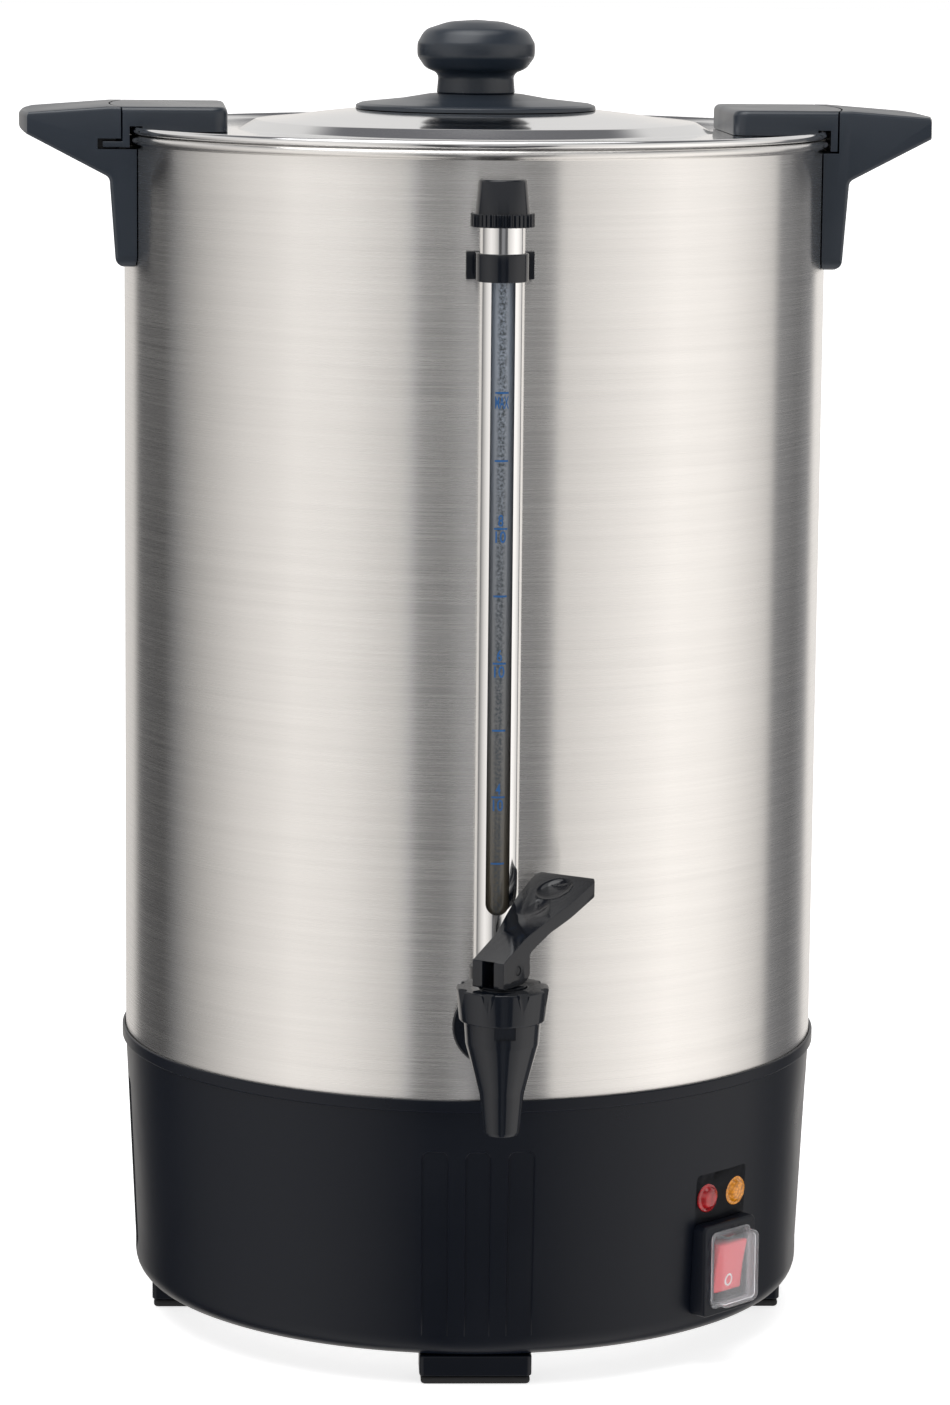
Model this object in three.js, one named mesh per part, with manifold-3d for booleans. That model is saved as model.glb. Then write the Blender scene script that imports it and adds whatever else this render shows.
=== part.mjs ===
// Stainless electric hot-drinks urn, about 16 litres: polished twist-lock lid, sight gauge,
// self-closing tap, black plastic base with two lamps and a covered rocker switch.
// Millimetres, +Z up. The tap and gauge face -Y and the handles lie along X.
import * as THREE from 'three';
import { mergeVertices } from 'three/addons/utils/BufferGeometryUtils.js';
import Module from 'manifold-3d';

const wasm = await Module();
wasm.setup();

const GAP = 0.3;                 // between pieces that touch
const ROUND = 48;                // facets round the big turned parts
const SMALL = 16;                // facets round the small ones

// Tank and base, with the feet standing on Z = 0
const TANK_R = 140.75;
const SHEET = 1;
const FLOOR = 135;               // top of the tank's floor
const RIM = 477.5;               // underside of the rolled rim
const RIM_BEAD = 1.7;
const FOOT_H = 12;
const BASE_TOP = 117;
const LEDGE = 113.6;             // the tank's skirt stands on this
const LIP_LOW = 111.6;
const LIP_R = 142.2;
const BASE_FOOT_R = 136.6;
const BASE_SHOULDER_R = 140.7;
const BASE_ROUND = 10;           // rounding at the foot of the base wall
const BASE_WALL = 2.5;
const BASE_TURN = THREE.MathUtils.degToRad(-1.9);
const FOOT_W = 44;
const FOOT_R = 129.5;
const PAD_H = 3;

// Lid and its ears
const LID_FLAT = RIM + 4.7;      // top of the flat rim of the lid
const DOME_FOOT_R = 98;
const LID_BEAD = 1.5;
const EAR_TOP = RIM + 14.7;
const EAR_IN = 100;
const EAR_R = 146.3;
const HANDLE_IN = 147;           // the handles' inner face, round the ears
const GRIP_HALF = 38.5;          // half the width of ears and handles
const WING_R = 182.6;            // outer edge of the handles, round the urn's axis
const LEG_LOW = -48.2;           // foot of the handles' legs, below the rim
const HOOK_LOW = RIM - 1.1;
const HOOK_TOP = RIM + 1.2;
const HOOK_OUT = 149;
const HOOK_LENGTH = 7.5;
const EAR_SCREW = [112, 20];

// Handles
const HANDLE_SCREWS = [RIM - 13, RIM - 38];
const SCREW_REACH = [145, 142.6];
const SCREW_HOLE = 2;            // radius of the clearance holes for M4 screws

// Gauge and tap, on one line out of the tank
const GAUGE_Y = -154;
const TAP_Y = -193;
const SHANK_OUT = 164;           // distance out of the shank's body, and of the spigot on its end
const SPIGOT_OUT = 173;
const SHANK_Z = 147.5;
const GUARD_R = 8.5;
const GUARD_LOW = 173.5;
const GUARD_TOP = RIM - 20.3;
const SLOT_W = 9;
const SLOT_LOW = RIM - 283.5;
const SLOT_TOP = RIM - 40;       // hidden by the clip
const CLIP_LOW = RIM - 44.5;
const CLIP_TOP = RIM - 34;
const CLIP_MID = (CLIP_LOW + CLIP_TOP) / 2;
const BONNET_LOW = RIM - 316.6;
const BONNET_TOP = RIM - 304;
const PIN_Z = RIM - 297.4;
const LEVER_TURN = THREE.MathUtils.degToRad(-36);
const YOKE_W = 13.6;
const YOKE_FRONT = 10.5;
const YOKE_LOW = RIM - 303.1;
const SLOT_GAP = 5.2;
const STEM_FLAT = YOKE_LOW - 6;  // the stem is flattened above this, clear of the lever's cheeks

// Controls on the base
const CONTROL_ANGLE = 45;        // degrees round from the front foot
const LAMPS = { lamp_red: 8.3, lamp_amber: -8.3 };
const LAMP_Z = 68.5;
const LAMP_R = 5.8;
const PANEL_Y = 137.4;           // flat of the shallow recess the lamps sit in
const SWITCH_Z = 40;
const SWITCH_CUT = [11.3, 14.3];  // half width and height of the hole for the switch body
const CORD_Z = 40;
const SWITCH_FACE = 143.4;
const ROCKER_Y = 139.6;          // distance out of the rocker's pivot

// Reach in front of and behind the tank's axis, which centre the whole on the origin
const FRONT_REACH = -TAP_Y + 17.4;
const BACK_REACH = 147;

const steel = { color: 0xc9c5bd, roughness: 0.32, metalness: 1 };
const mirror = { color: 0xe6e6e6, roughness: 0.08, metalness: 1 };
const blackPlastic = { color: 0x1b1d21, roughness: 0.5, metalness: 0 };
const glossPlastic = { color: 0x0b0b0d, roughness: 0.15, metalness: 0 };
const rubber = { color: 0x141414, roughness: 0.85, metalness: 0 };
const silicone = { color: 0xd9dcdd, roughness: 0.35, metalness: 0 };

const urn = new THREE.Group();
const base = new THREE.Group();
const lever = new THREE.Group();

const v2 = (x, y) => new THREE.Vector2(x, y);

// A round stretch of a profile, in degrees, both ends included
function arc(x, y, r, from, to, steps = 6) {
  const curve = new THREE.EllipseCurve(x, y, r, r, from * Math.PI / 180, to * Math.PI / 180, to < from);
  return curve.getPoints(steps);
}

// A closed geometry as a solid that can be joined and cut
function solid(geometry) {
  const bare = geometry.clone();
  bare.deleteAttribute('normal');
  bare.deleteAttribute('uv');
  const merged = mergeVertices(bare, 1e-4);
  const index = merged.index.array;
  const triangles = [];
  for (let i = 0; i < index.length; i += 3) {
    const [a, b, c] = [index[i], index[i + 1], index[i + 2]];
    if (a !== b && b !== c && c !== a) triangles.push(a, b, c);
  }
  return new wasm.Manifold(new wasm.Mesh({
    numProp: 3,
    vertProperties: Float32Array.from(merged.attributes.position.array),
    triVerts: Uint32Array.from(triangles),
  }));
}

// Turned about Z from points (radius, height)
function turned(points, facets = ROUND) {
  const profile = THREE.ShapeUtils.area(points) < 0 ? [...points].reverse() : [...points];
  const onAxis = profile[0].x === 0 && profile[profile.length - 1].x === 0;
  if (!onAxis) profile.push(profile[0].clone());
  const geometry = new THREE.LatheGeometry(profile, facets);
  geometry.rotateX(Math.PI / 2);
  return solid(geometry);
}

// A round bar with its axis along Z, Y or X, from one end to the other
function bar(radius, from, to, facets = SMALL, axis = 'z') {
  const geometry = new THREE.CylinderGeometry(radius, radius, to - from, facets);
  geometry.translate(0, (from + to) / 2, 0);
  if (axis === 'z') geometry.rotateX(Math.PI / 2);
  if (axis === 'x') geometry.rotateZ(-Math.PI / 2);
  return solid(geometry);
}

// A block between two corners
function block(x0, x1, y0, y1, z0, z1) {
  const geometry = new THREE.BoxGeometry(x1 - x0, y1 - y0, z1 - z0);
  geometry.translate((x0 + x1) / 2, (y0 + y1) / 2, (z0 + z1) / 2);
  return solid(geometry);
}

// A flat shape in XY raised between two heights, with its edges rounded by bevel
function raised(shape, z0, z1, bevel = 0, curveSegments = 6) {
  const geometry = new THREE.ExtrudeGeometry(shape, {
    depth: z1 - z0 - 2 * bevel,
    bevelEnabled: bevel > 0,
    bevelThickness: bevel,
    bevelSize: bevel,
    bevelOffset: -bevel,
    bevelSegments: 2,
    curveSegments,
  });
  geometry.translate(0, 0, z0 + bevel);
  return solid(geometry);
}

// A rectangle with rounded corners, centred on x, y
function roundedRect(width, height, r, x = 0, y = 0) {
  const shape = new THREE.Shape();
  const [w, h] = [width / 2, height / 2];
  shape.absarc(x + w - r, y - h + r, r, -Math.PI / 2, 0);
  shape.absarc(x + w - r, y + h - r, r, 0, Math.PI / 2);
  shape.absarc(x - w + r, y + h - r, r, Math.PI / 2, Math.PI);
  shape.absarc(x - w + r, y - h + r, r, Math.PI, 1.5 * Math.PI);
  return shape;
}

// A named piece of the urn, from a solid
function add(parent, name, body, look) {
  const data = body.getMesh();
  const geometry = new THREE.BufferGeometry();
  geometry.setAttribute('position', new THREE.BufferAttribute(Float32Array.from(data.vertProperties), 3));
  geometry.setIndex(new THREE.BufferAttribute(Uint32Array.from(data.triVerts), 1));
  geometry.computeVertexNormals();
  const mesh = new THREE.Mesh(geometry, new THREE.MeshStandardMaterial(look));
  mesh.name = name;
  parent.add(mesh);
  return mesh;
}

function tankShell() {
  const inner = TANK_R - SHEET;
  const bead = arc(inner + RIM_BEAD, RIM + RIM_BEAD, RIM_BEAD, 180, -90, 6);
  let body = turned([
    v2(0, FLOOR), ...arc(inner - 3, FLOOR + 3, 3, -90, 0, 3), ...bead,
    v2(TANK_R, RIM), v2(TANK_R, LEDGE + GAP), v2(inner, LEDGE + GAP),
    v2(inner, FLOOR - 3), v2(inner - 5, FLOOR - SHEET), v2(0, FLOOR - SHEET),
  ]);
  body = body.subtract(bar(8.3, -150, -130, SMALL, 'y').translate([0, 0, SHANK_Z]));
  body = body.subtract(bar(SCREW_HOLE, -150, -130, 12, 'y').translate([0, 0, CLIP_MID]));
  for (const z of HANDLE_SCREWS) {
    body = body.subtract(bar(SCREW_HOLE, -150, 150, 12, 'x').translate([0, 0, z]));
  }
  return body;
}

// The outside of the base wall, grown by more for what has to stand clear of it
function baseEnvelope(more = 0) {
  return turned([
    v2(0, FOOT_H - more),
    ...arc(BASE_FOOT_R - BASE_ROUND, FOOT_H + BASE_ROUND, BASE_ROUND + more, -90, 0, 5),
    v2(BASE_SHOULDER_R + more, LIP_LOW), v2(LIP_R + more, LIP_LOW + 1.4),
    v2(LIP_R + more, BASE_TOP - 0.4), v2(LIP_R - 0.4 + more, BASE_TOP + more), v2(0, BASE_TOP + more),
  ]);
}

function baseHollow() {
  const corner = BASE_ROUND - BASE_WALL;
  return turned([
    v2(0, 10), v2(112.3, 10), v2(112.3, FOOT_H + 2.8), v2(102, FOOT_H + 2.8), v2(102, FOOT_H + 5.3),
    v2(120, FOOT_H + 5.3),
    ...arc(BASE_FOOT_R - BASE_ROUND, FOOT_H + BASE_ROUND + 3, corner, -60, 0, 3),
    v2(BASE_SHOULDER_R - BASE_WALL, LEDGE), v2(TANK_R + GAP, LEDGE), v2(TANK_R + GAP, BASE_TOP + 1),
    v2(0, BASE_TOP + 1),
  ]);
}

// What lies behind the controls, made facing +Y and then swung round to their place
function controlOpenings() {
  const panel = raised(roundedRect(29.8, 34.3, 2), PANEL_Y, 160, 0, 2).rotate([-90, 0, 0]);
  let openings = panel.translate([0, 0, 61.2]);
  for (const x of Object.values(LAMPS)) {
    openings = openings.add(bar(4.3, 120, 150, SMALL, 'y').translate([x, 0, LAMP_Z]));
  }
  return openings.add(switchHole()).rotate([0, 0, 180 + CONTROL_ANGLE]);
}

function switchHole() {
  const [w, h] = SWITCH_CUT;
  return block(-w, w, 120, 150, SWITCH_Z - h, SWITCH_Z + h);
}

function baseHousing() {
  const gland = bar(6.3, 120, 150, 20, 'y').translate([0, 0, CORD_Z]);
  return baseEnvelope().subtract(baseHollow()).subtract(controlOpenings()).subtract(gland);
}

function foot() {
  return raised(roundedRect(FOOT_W, 17, 2, 0, FOOT_R - 8.5), PAD_H + GAP, FOOT_H - GAP, 0, 3);
}

function basePlate() {
  const [low, high] = [FOOT_H + 1, FOOT_H + 2.5];
  return turned([v2(3.4, low), v2(111.9, low), v2(111.9, high), v2(3.4, high)], 44);
}

function footPad() {
  return raised(roundedRect(FOOT_W - 1, 16, 2, 0, FOOT_R - 8.5), 0, PAD_H, 0, 2);
}

function cordGland() {
  const ring = turned([
    v2(3.6, 0), v2(6, 0), v2(6, 10), v2(9, 10), v2(8.4, 14), v2(5, 16), v2(3.6, 16),
  ], 20);
  return ring.rotate([-90, 0, 0]).translate([0, BACK_REACH - 16, CORD_Z]);
}

function heaterPlate() {
  return turned([v2(10.6, 129.7), v2(75, 129.7), v2(75, 133.7), v2(10.6, 133.7)], 36);
}

// A sheathed element: most of a ring, with both ends turned down to their terminals
function heatingElement() {
  const points = [];
  const open = 14;
  const [radius, height] = [58, 124.4];
  for (let a = open; a <= 360 - open; a += (360 - 2 * open) / 24) {
    const t = (a + 90) * Math.PI / 180;
    points.push(new THREE.Vector3(radius * Math.cos(t), radius * Math.sin(t), height));
  }
  const down = (p) => new THREE.Vector3(p.x * 1.02, p.y * 1.1, 108);
  points.unshift(down(points[0]));
  points.push(down(points[points.length - 1]));
  const section = new THREE.Shape().absarc(0, 0, 4, 0, 2 * Math.PI);
  const extrudePath = new THREE.CatmullRomCurve3(points, false, 'centripetal');
  return solid(new THREE.ExtrudeGeometry(section, { steps: 32, curveSegments: 4, extrudePath }));
}

// A snap-action disc thermostat or cut-out, with its two tabs
function discSwitch() {
  const body = turned([
    v2(0, 117), v2(7, 117), v2(7, 124), v2(8.5, 124), v2(8.5, 129.4), v2(0, 129.4),
  ], 20);
  return body.add(block(-5, -4, -3, 3, 109, 118)).add(block(4, 5, -3, 3, 109, 118));
}

function terminalBlock() {
  let body = block(-18, 18, 76, 94, FOOT_H + 2.8, 30);
  for (const x of [-11, 0, 11]) {
    body = body.subtract(bar(2.2, 70, 100, 10, 'y').translate([x, 0, 23]));
  }
  return body;
}

function tieRod() {
  return turned([
    v2(0, 7), v2(3, 7), v2(3, 131), v2(10, 131.6), v2(10, 133.7), v2(0, 133.7),
  ], 16);
}

function tieNut() {
  return bar(8, 7.6, FOOT_H + 0.7, 6).subtract(bar(3.3, 0, 20, 16));
}

function lamp() {
  const lens = turned([
    v2(0, 128), v2(4, 128), v2(4, PANEL_Y + GAP), v2(LAMP_R, PANEL_Y + GAP),
    ...arc(0, PANEL_Y - 3.9, 7.5, 39.4, 90, 3),
  ], 16);
  return lens.rotate([-90, 0, 0]).translate([0, 0, LAMP_Z]);
}

function switchFrame() {
  const frame = raised(roundedRect(31, 37, 2.5), 130, SWITCH_FACE, 0, 3).rotate([-90, 0, 0]);
  return frame.translate([0, 0, SWITCH_Z])
    .subtract(baseEnvelope(GAP))
    .subtract(switchHole());
}

function switchBody() {
  const shell = block(-11, 11, 116, SWITCH_FACE - 0.5, SWITCH_Z - 14, SWITCH_Z + 14);
  const well = block(-8.5, 8.5, 126, 160, SWITCH_Z - 12.6, SWITCH_Z + 12.6);
  const pivot = bar(1.6, -9.5, 9.5, 12, 'x').translate([0, ROCKER_Y, SWITCH_Z]);
  return shell.subtract(well).subtract(pivot);
}

// A shallow V across the front, its lower half pressed in, on a pivot pin
function switchRocker() {
  const shape = new THREE.Shape();
  shape.moveTo(-3, -10.2);
  shape.lineTo(2.6, -10.2);
  shape.lineTo(3.8, 0);
  shape.lineTo(6, 10.2);
  shape.lineTo(-5, 10.2);
  shape.lineTo(-5, 0);
  const paddle = raised(shape, -8, 8).rotate([90, 0, 90]);
  return paddle.add(bar(1.3, -9.2, 9.2, 12, 'x')).translate([0, ROCKER_Y, SWITCH_Z]);
}

function switchBoot() {
  const outer = raised(roundedRect(21.6, 29, 3), SWITCH_FACE + GAP, SWITCH_FACE + 6.5, 1.4, 2);
  const flange = raised(roundedRect(25, 32.5, 2.5), SWITCH_FACE + GAP, SWITCH_FACE + 1.5, 0, 2);
  const inner = raised(roundedRect(19.4, 26.8, 2), SWITCH_FACE - 3, SWITCH_FACE + 5.4, 0, 2);
  return outer.add(flange).subtract(inner).rotate([-90, 0, 0]).translate([0, 0, SWITCH_Z]);
}

// Height of the lid's dome, and the rounded step round it (radius, height over the rim)
const domeAt = (r) => RIM + 15.4 - 2.4 * (r / 50) ** 2;
const DOME_STEP = [[88.5, 8.2], [93.5, 6.2], [DOME_FOOT_R, 4.7]];

function lid() {
  const bead = TANK_R - SHEET + RIM_BEAD - 0.2;
  const cone = (r) => RIM + 9.9 + (78 - r) * 0.113;
  const dome = [0, 30, 55, 78].map((r) => v2(r, Math.min(domeAt(r), cone(r))));
  const step = DOME_STEP.map(([r, z]) => v2(r, RIM + z));
  const top = [...dome, ...step, v2(bead - 1.9, LID_FLAT),
    ...arc(bead, LID_FLAT + 0.5, LID_BEAD, 160, -90, 6)];
  const under = LID_FLAT - SHEET;
  const plug = [v2(138.6, under), v2(138.6, RIM - 7), v2(137.6, RIM - 7), v2(137.6, under)];
  const below = [...dome, ...step].reverse().map((p) => v2(p.x === 0 ? 0 : p.x - 0.3, p.y - SHEET));
  let body = turned([...top, ...plug, ...below]);
  body = body.subtract(bar(2.6, RIM, RIM + 20, 16));
  for (const x of [-EAR_SCREW[0], EAR_SCREW[0]]) {
    for (const y of [-EAR_SCREW[1], EAR_SCREW[1]]) {
      body = body.subtract(bar(SCREW_HOLE, RIM, RIM + 10, 12).translate([x, y, 0]));
    }
  }
  return body;
}

// The right-hand ear: it bears on the lid, hangs past the rim and hooks into the handle
function lidEar() {
  const half = Math.asin(GRIP_HALF / EAR_R);
  const shape = new THREE.Shape();
  shape.absarc(EAR_IN + 5, -GRIP_HALF + 5, 5, Math.PI, 1.5 * Math.PI);
  shape.absarc(0, 0, EAR_R + 2, -half, half);
  shape.absarc(EAR_IN + 5, GRIP_HALF - 5, 5, Math.PI / 2, Math.PI);
  const clear = turned([
    v2(0, RIM - 20), v2(143.7, RIM - 20), v2(143.7, LID_FLAT + 2.4), v2(138.8, LID_FLAT + 2.4),
    v2(138.8, LID_FLAT + GAP), v2(0, LID_FLAT + GAP),
  ]);
  const hook = block(139, HOOK_OUT, GRIP_HALF - HOOK_LENGTH, GRIP_HALF, HOOK_LOW, HOOK_TOP);
  let body = raised(shape, RIM - 6, EAR_TOP, 1.4, 4).intersect(bar(EAR_R, HOOK_LOW, RIM + 30, ROUND));
  body = body.add(hook).subtract(clear);
  for (const y of [-EAR_SCREW[1], EAR_SCREW[1]]) {
    body = body.subtract(bar(SCREW_HOLE, RIM, RIM + 11.5, 12).translate([EAR_SCREW[0], y, 0]));
  }
  return body;
}

function earScrew() {
  const under = LID_FLAT - SHEET - GAP;
  return turned([
    v2(0, under - 2.4), v2(3.2, under - 2.4), v2(4, under - 1.4), v2(4, under), v2(1.7, under),
    v2(1.7, RIM + 11), v2(0, RIM + 11),
  ], 12);
}

// The right-hand handle: wing, roof over the ear's hook, and a leg down the tank wall
function handle() {
  const shape = new THREE.Shape();
  shape.moveTo(134, 14.7);
  shape.lineTo(134, LEG_LOW);
  shape.lineTo(140, LEG_LOW);
  shape.quadraticCurveTo(143.6, LEG_LOW + 0.3, 144, LEG_LOW + 4.3);
  shape.lineTo(146.4, -15.5);
  shape.quadraticCurveTo(146.6, -13, 149, -11.8);
  shape.lineTo(178, 3.4);
  shape.quadraticCurveTo(182.4, 5.6, 182.6, 8.4);
  shape.quadraticCurveTo(182.6, 11.8, 178.5, 12.2);
  shape.lineTo(147, 14.7);
  const grooveLow = HOOK_LOW - RIM - 0.8;
  const clear = turned([
    v2(0, -70), v2(TANK_R + GAP, -70), v2(TANK_R + GAP, grooveLow), v2(HANDLE_IN, grooveLow),
    v2(HANDLE_IN, 30), v2(0, 30),
  ]);
  const mouth = GRIP_HALF - HOOK_LENGTH - 0.8;
  const groove = block(140, HOOK_OUT + 2, mouth, 50, grooveLow, HOOK_TOP - RIM + 1.1);
  const height = 40 - LEG_LOW;
  const face = raised(roundedRect(height, 2 * GRIP_HALF, 5, height / 2 - 40), 0, 200).rotate([0, 90, 0]);
  let body = raised(shape, -GRIP_HALF, GRIP_HALF, 2.4, 4).rotate([90, 0, 0]);
  body = body.intersect(bar(WING_R, -70, 40, 96)).intersect(face);
  body = body.subtract(clear).subtract(groove).translate([0, 0, RIM]);
  HANDLE_SCREWS.forEach((z, i) => {
    body = body.subtract(bar(SCREW_HOLE, 130, SCREW_REACH[i] + 0.5, 12, 'x').translate([0, 0, z]));
  });
  return body;
}

function handleScrew(reach) {
  const head = TANK_R - SHEET - GAP;
  const profile = [
    v2(0, head - 2.4), v2(3.2, head - 2.4), v2(4.2, head - 1.2), v2(4.2, head), v2(1.7, head),
    v2(1.7, reach), v2(0, reach),
  ];
  return turned(profile, 12).rotate([0, 90, 0]);
}

function knobBase() {
  return turned([
    v2(2.6, domeAt(0) + GAP), v2(30, domeAt(30) + GAP), v2(48, domeAt(48) + GAP), v2(48, RIM + 14.8),
    v2(46, RIM + 15.6), v2(30, RIM + 17.4), v2(19, RIM + 18.9), v2(15.9, RIM + 19.3), v2(2.6, RIM + 19.3),
  ], 30);
}

function lidKnob() {
  const body = turned([
    v2(0, RIM + 19.6), v2(15.7, RIM + 19.6), v2(15.7, RIM + 27), v2(19.6, RIM + 29.2), v2(22.8, RIM + 33),
    v2(23.6, RIM + 36.8), v2(22.6, RIM + 41.4), v2(18.6, RIM + 45.6), v2(11, RIM + 48), v2(0, RIM + 48.8),
  ], 28);
  return body.subtract(bar(2.5, RIM, RIM + 34, 16));
}

function knobScrew() {
  const under = RIM + 14;
  return turned([
    v2(0, under - 2.8), v2(4.8, under - 2.8), v2(6, under - 1.4), v2(6, under), v2(2.1, under),
    v2(2.1, RIM + 33), v2(0, RIM + 33),
  ], 16);
}

// A turned piece lying along the tap's line: heights become distances out from the tank's axis
function outward(points, facets = SMALL) {
  return turned(points, facets).rotate([90, 0, 0]).translate([0, 0, SHANK_Z]);
}

// Round shank through the tank wall, with a flange outside it and a socket for the gauge glass
function gaugeShank() {
  const stem = outward([
    v2(0, 121), v2(8, 121), v2(8, 143.4), v2(15.7, 143.4), v2(15.7, 146.4), v2(14.6, 147.4),
    v2(10.4, 147.4), v2(10.4, SHANK_OUT), v2(6.4, SHANK_OUT), v2(6.4, SPIGOT_OUT), v2(0, SPIGOT_OUT),
  ]);
  const top = GUARD_LOW - GAP;
  const socket = turned([v2(0, 141), v2(8, 141), v2(10, 147), v2(10, top), v2(0, top)], SMALL);
  const bore = outward([v2(0, 120), v2(4.6, 120), v2(4.6, 180), v2(0, 180)]);
  const well = turned([
    v2(0, SHANK_Z), v2(4.2, SHANK_Z), v2(4.2, 158), v2(5.8, 158), v2(5.8, 166), v2(7.7, 166),
    v2(7.7, 180), v2(0, 180),
  ], SMALL);
  return stem.add(socket.translate([0, GAUGE_Y, 0])).subtract(bore).subtract(well.translate([0, GAUGE_Y, 0]));
}

function shankGasket() {
  return outward([v2(8.3, TANK_R + GAP), v2(13, TANK_R + GAP), v2(13, 143.1), v2(8.3, 143.1)]);
}

function shankNut() {
  const inner = TANK_R - SHEET - 1.1;
  const nut = bar(11.4, -inner, 7 - inner, 6, 'y').rotate([0, 30, 0]);
  return nut.subtract(bar(8.3, -150, -120, SMALL, 'y')).translate([0, 0, SHANK_Z]);
}

function sightGlass() {
  return turned([v2(4, 158.3), v2(5.5, 158.3), v2(5.5, RIM - 14), v2(4, RIM - 14)], SMALL);
}

function gaugeSeal() {
  return turned([v2(5.8, 166.3), v2(7.4, 166.3), v2(7.4, 171), v2(5.8, 171)], SMALL);
}

function gaugeGuard() {
  const tube = turned([
    v2(GUARD_R - 1, GUARD_LOW), v2(GUARD_R, GUARD_LOW), v2(GUARD_R, GUARD_TOP), v2(GUARD_R - 1, GUARD_TOP),
  ], 32);
  const slot = block(-SLOT_W / 2, SLOT_W / 2, -20, 0, SLOT_LOW + SLOT_W / 2, SLOT_TOP);
  const end = bar(SLOT_W / 2, -20, 0, SMALL, 'y').translate([0, 0, SLOT_LOW + SLOT_W / 2]);
  return tube.subtract(slot.add(end));
}

// Push-on cap: a cone over a knurled collar, open below and with a small vent above
function gaugeCap() {
  const top = RIM - 6.6;
  const collar = RIM - 19.2;
  const cone = turned([v2(0, collar), v2(10.2, collar), v2(9.1, top - 1), v2(8.1, top), v2(0, top)], SMALL);
  const skirt = bar(11.4, RIM - 24.2, collar, 24);
  let body = cone.add(skirt);
  for (let i = 0; i < 12; i += 1) {
    const ridge = block(10.4, 12, -0.9, 0.9, RIM - 23.9, collar - 0.3);
    body = body.add(ridge.rotate([0, 0, 30 * i]));
  }
  const bore = turned([
    v2(0, RIM - 30), v2(GUARD_R + GAP, RIM - 30), v2(GUARD_R + GAP, GUARD_TOP + GAP),
    v2(5.8, GUARD_TOP + GAP), v2(5.8, RIM - 12), v2(0, RIM - 12),
  ], SMALL);
  return body.subtract(bore).subtract(bar(1, RIM - 20, RIM, 8));
}

// Saddle that holds the guard tube off the wall, with a foot screwed to the tank from inside
function gaugeClip() {
  const [low, high] = [CLIP_LOW, CLIP_TOP];
  const wallY = -TANK_R - GAP - GAUGE_Y;
  let body = bar(9.9, low, high, 32).add(block(-12.8, 12.8, wallY - 3, wallY + 1, low, high));
  body = body.add(block(-9.8, 9.8, 0, wallY, low, high));
  body = body.subtract(bar(GUARD_R + GAP, low - 1, high + 1, 32));
  body = body.subtract(bar(TANK_R + GAP, low - 1, high + 1, 160).translate([0, -GAUGE_Y, 0]));
  return body.subtract(bar(1.9, 9.6, 20, 12, 'y').translate([0, 0, CLIP_MID]));
}

function clipScrew() {
  const head = TANK_R - SHEET - GAP;
  return turned([
    v2(0, head - 2), v2(3.5, head - 1.4), v2(3.5, head), v2(1.6, head), v2(1.6, 144), v2(0, 144),
  ], 12).rotate([90, 0, 0]).translate([0, 0, CLIP_MID]);
}

// Valve body: chamber and seat under the bonnet, spout below, inlet collar behind
function tapBody() {
  const outside = turned([
    v2(0, RIM - 360.5), v2(6.3, RIM - 360.5), v2(6.8, RIM - 359.8), v2(8.3, RIM - 345),
    v2(13.8, RIM - 325.5), v2(14.3, RIM - 324.4), v2(14.4, BONNET_LOW - GAP), v2(12.6, BONNET_LOW - GAP),
    v2(12.6, 168), v2(0, 168),
  ], 24);
  const collar = bar(8.8, 0, -TAP_Y - SHANK_OUT - GAP, SMALL, 'y').translate([0, 0, SHANK_Z]);
  const passage = turned([
    v2(0, 110), v2(5.2, 110), v2(5.2, 141), v2(9.2, 141), v2(9.2, 170), v2(0, 170),
  ], SMALL);
  const socket = bar(6.7, -TAP_Y - SPIGOT_OUT - GAP, 40, SMALL, 'y');
  const inlet = socket.add(bar(4.6, 5, 40, SMALL, 'y')).translate([0, 0, SHANK_Z]);
  const notch = block(-4, 4, -15, -13.6, RIM - 321.7, BONNET_LOW + 2);
  return outside.add(collar).subtract(passage).subtract(inlet).subtract(notch);
}

// Grip nut with scalloped edge, holding the stem down in the body
function tapBonnet() {
  const shape = new THREE.Shape();
  const lobes = 10;
  const points = [];
  for (let i = 0; i < lobes * 6; i += 1) {
    const a = i * Math.PI / (lobes * 3);
    const r = 17.4 - (i % 6 === 0 ? 1.7 : 0);
    points.push(v2(r * Math.cos(a), r * Math.sin(a)));
  }
  shape.setFromPoints(points);
  const skirt = raised(shape, BONNET_LOW, BONNET_TOP);
  const thread = turned([
    v2(0, 150), v2(12.9, 150), v2(12.9, 168.3), v2(4.4, 170.5), v2(4.4, 172), v2(9.3, 172),
    v2(9.3, 180), v2(0, 180),
  ], SMALL);
  return skirt.subtract(thread);
}

function stemWasher() {
  const [low, high] = [172.3, YOKE_LOW - GAP];
  return turned([v2(4.4, low), v2(9, low), v2(9, high), v2(4.4, high)], SMALL);
}

// Lifting stem, flattened at the top to fit between the lever's cheeks
function tapStem() {
  const rod = turned([
    v2(0, 147), v2(2.6, 147), v2(2.6, 151), v2(4.1, 153), v2(4.1, 178), v2(0, 178),
  ], SMALL);
  const half = SLOT_GAP / 2 - GAP;
  const head = bar(4.1, -half, half, SMALL, 'x').translate([0, 0, PIN_Z]);
  const neck = block(-half, half, -3.4, 3.4, STEM_FLAT, PIN_Z);
  const body = rod.subtract(block(-10, 10, -10, 10, STEM_FLAT, 190)).add(neck).add(head);
  return body.subtract(bar(1.8, -10, 10, 16, 'x').translate([0, 0, PIN_Z]));
}

function seatCup() {
  return turned([
    v2(0, 141.4), v2(7, 141.4), v2(8.6, 144), v2(8, 150), v2(6, 154), v2(4.4, 155),
    v2(4.4, 152.8), v2(2.9, 151.2), v2(2.9, 146.7), v2(0, 146.7),
  ], SMALL);
}

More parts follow.
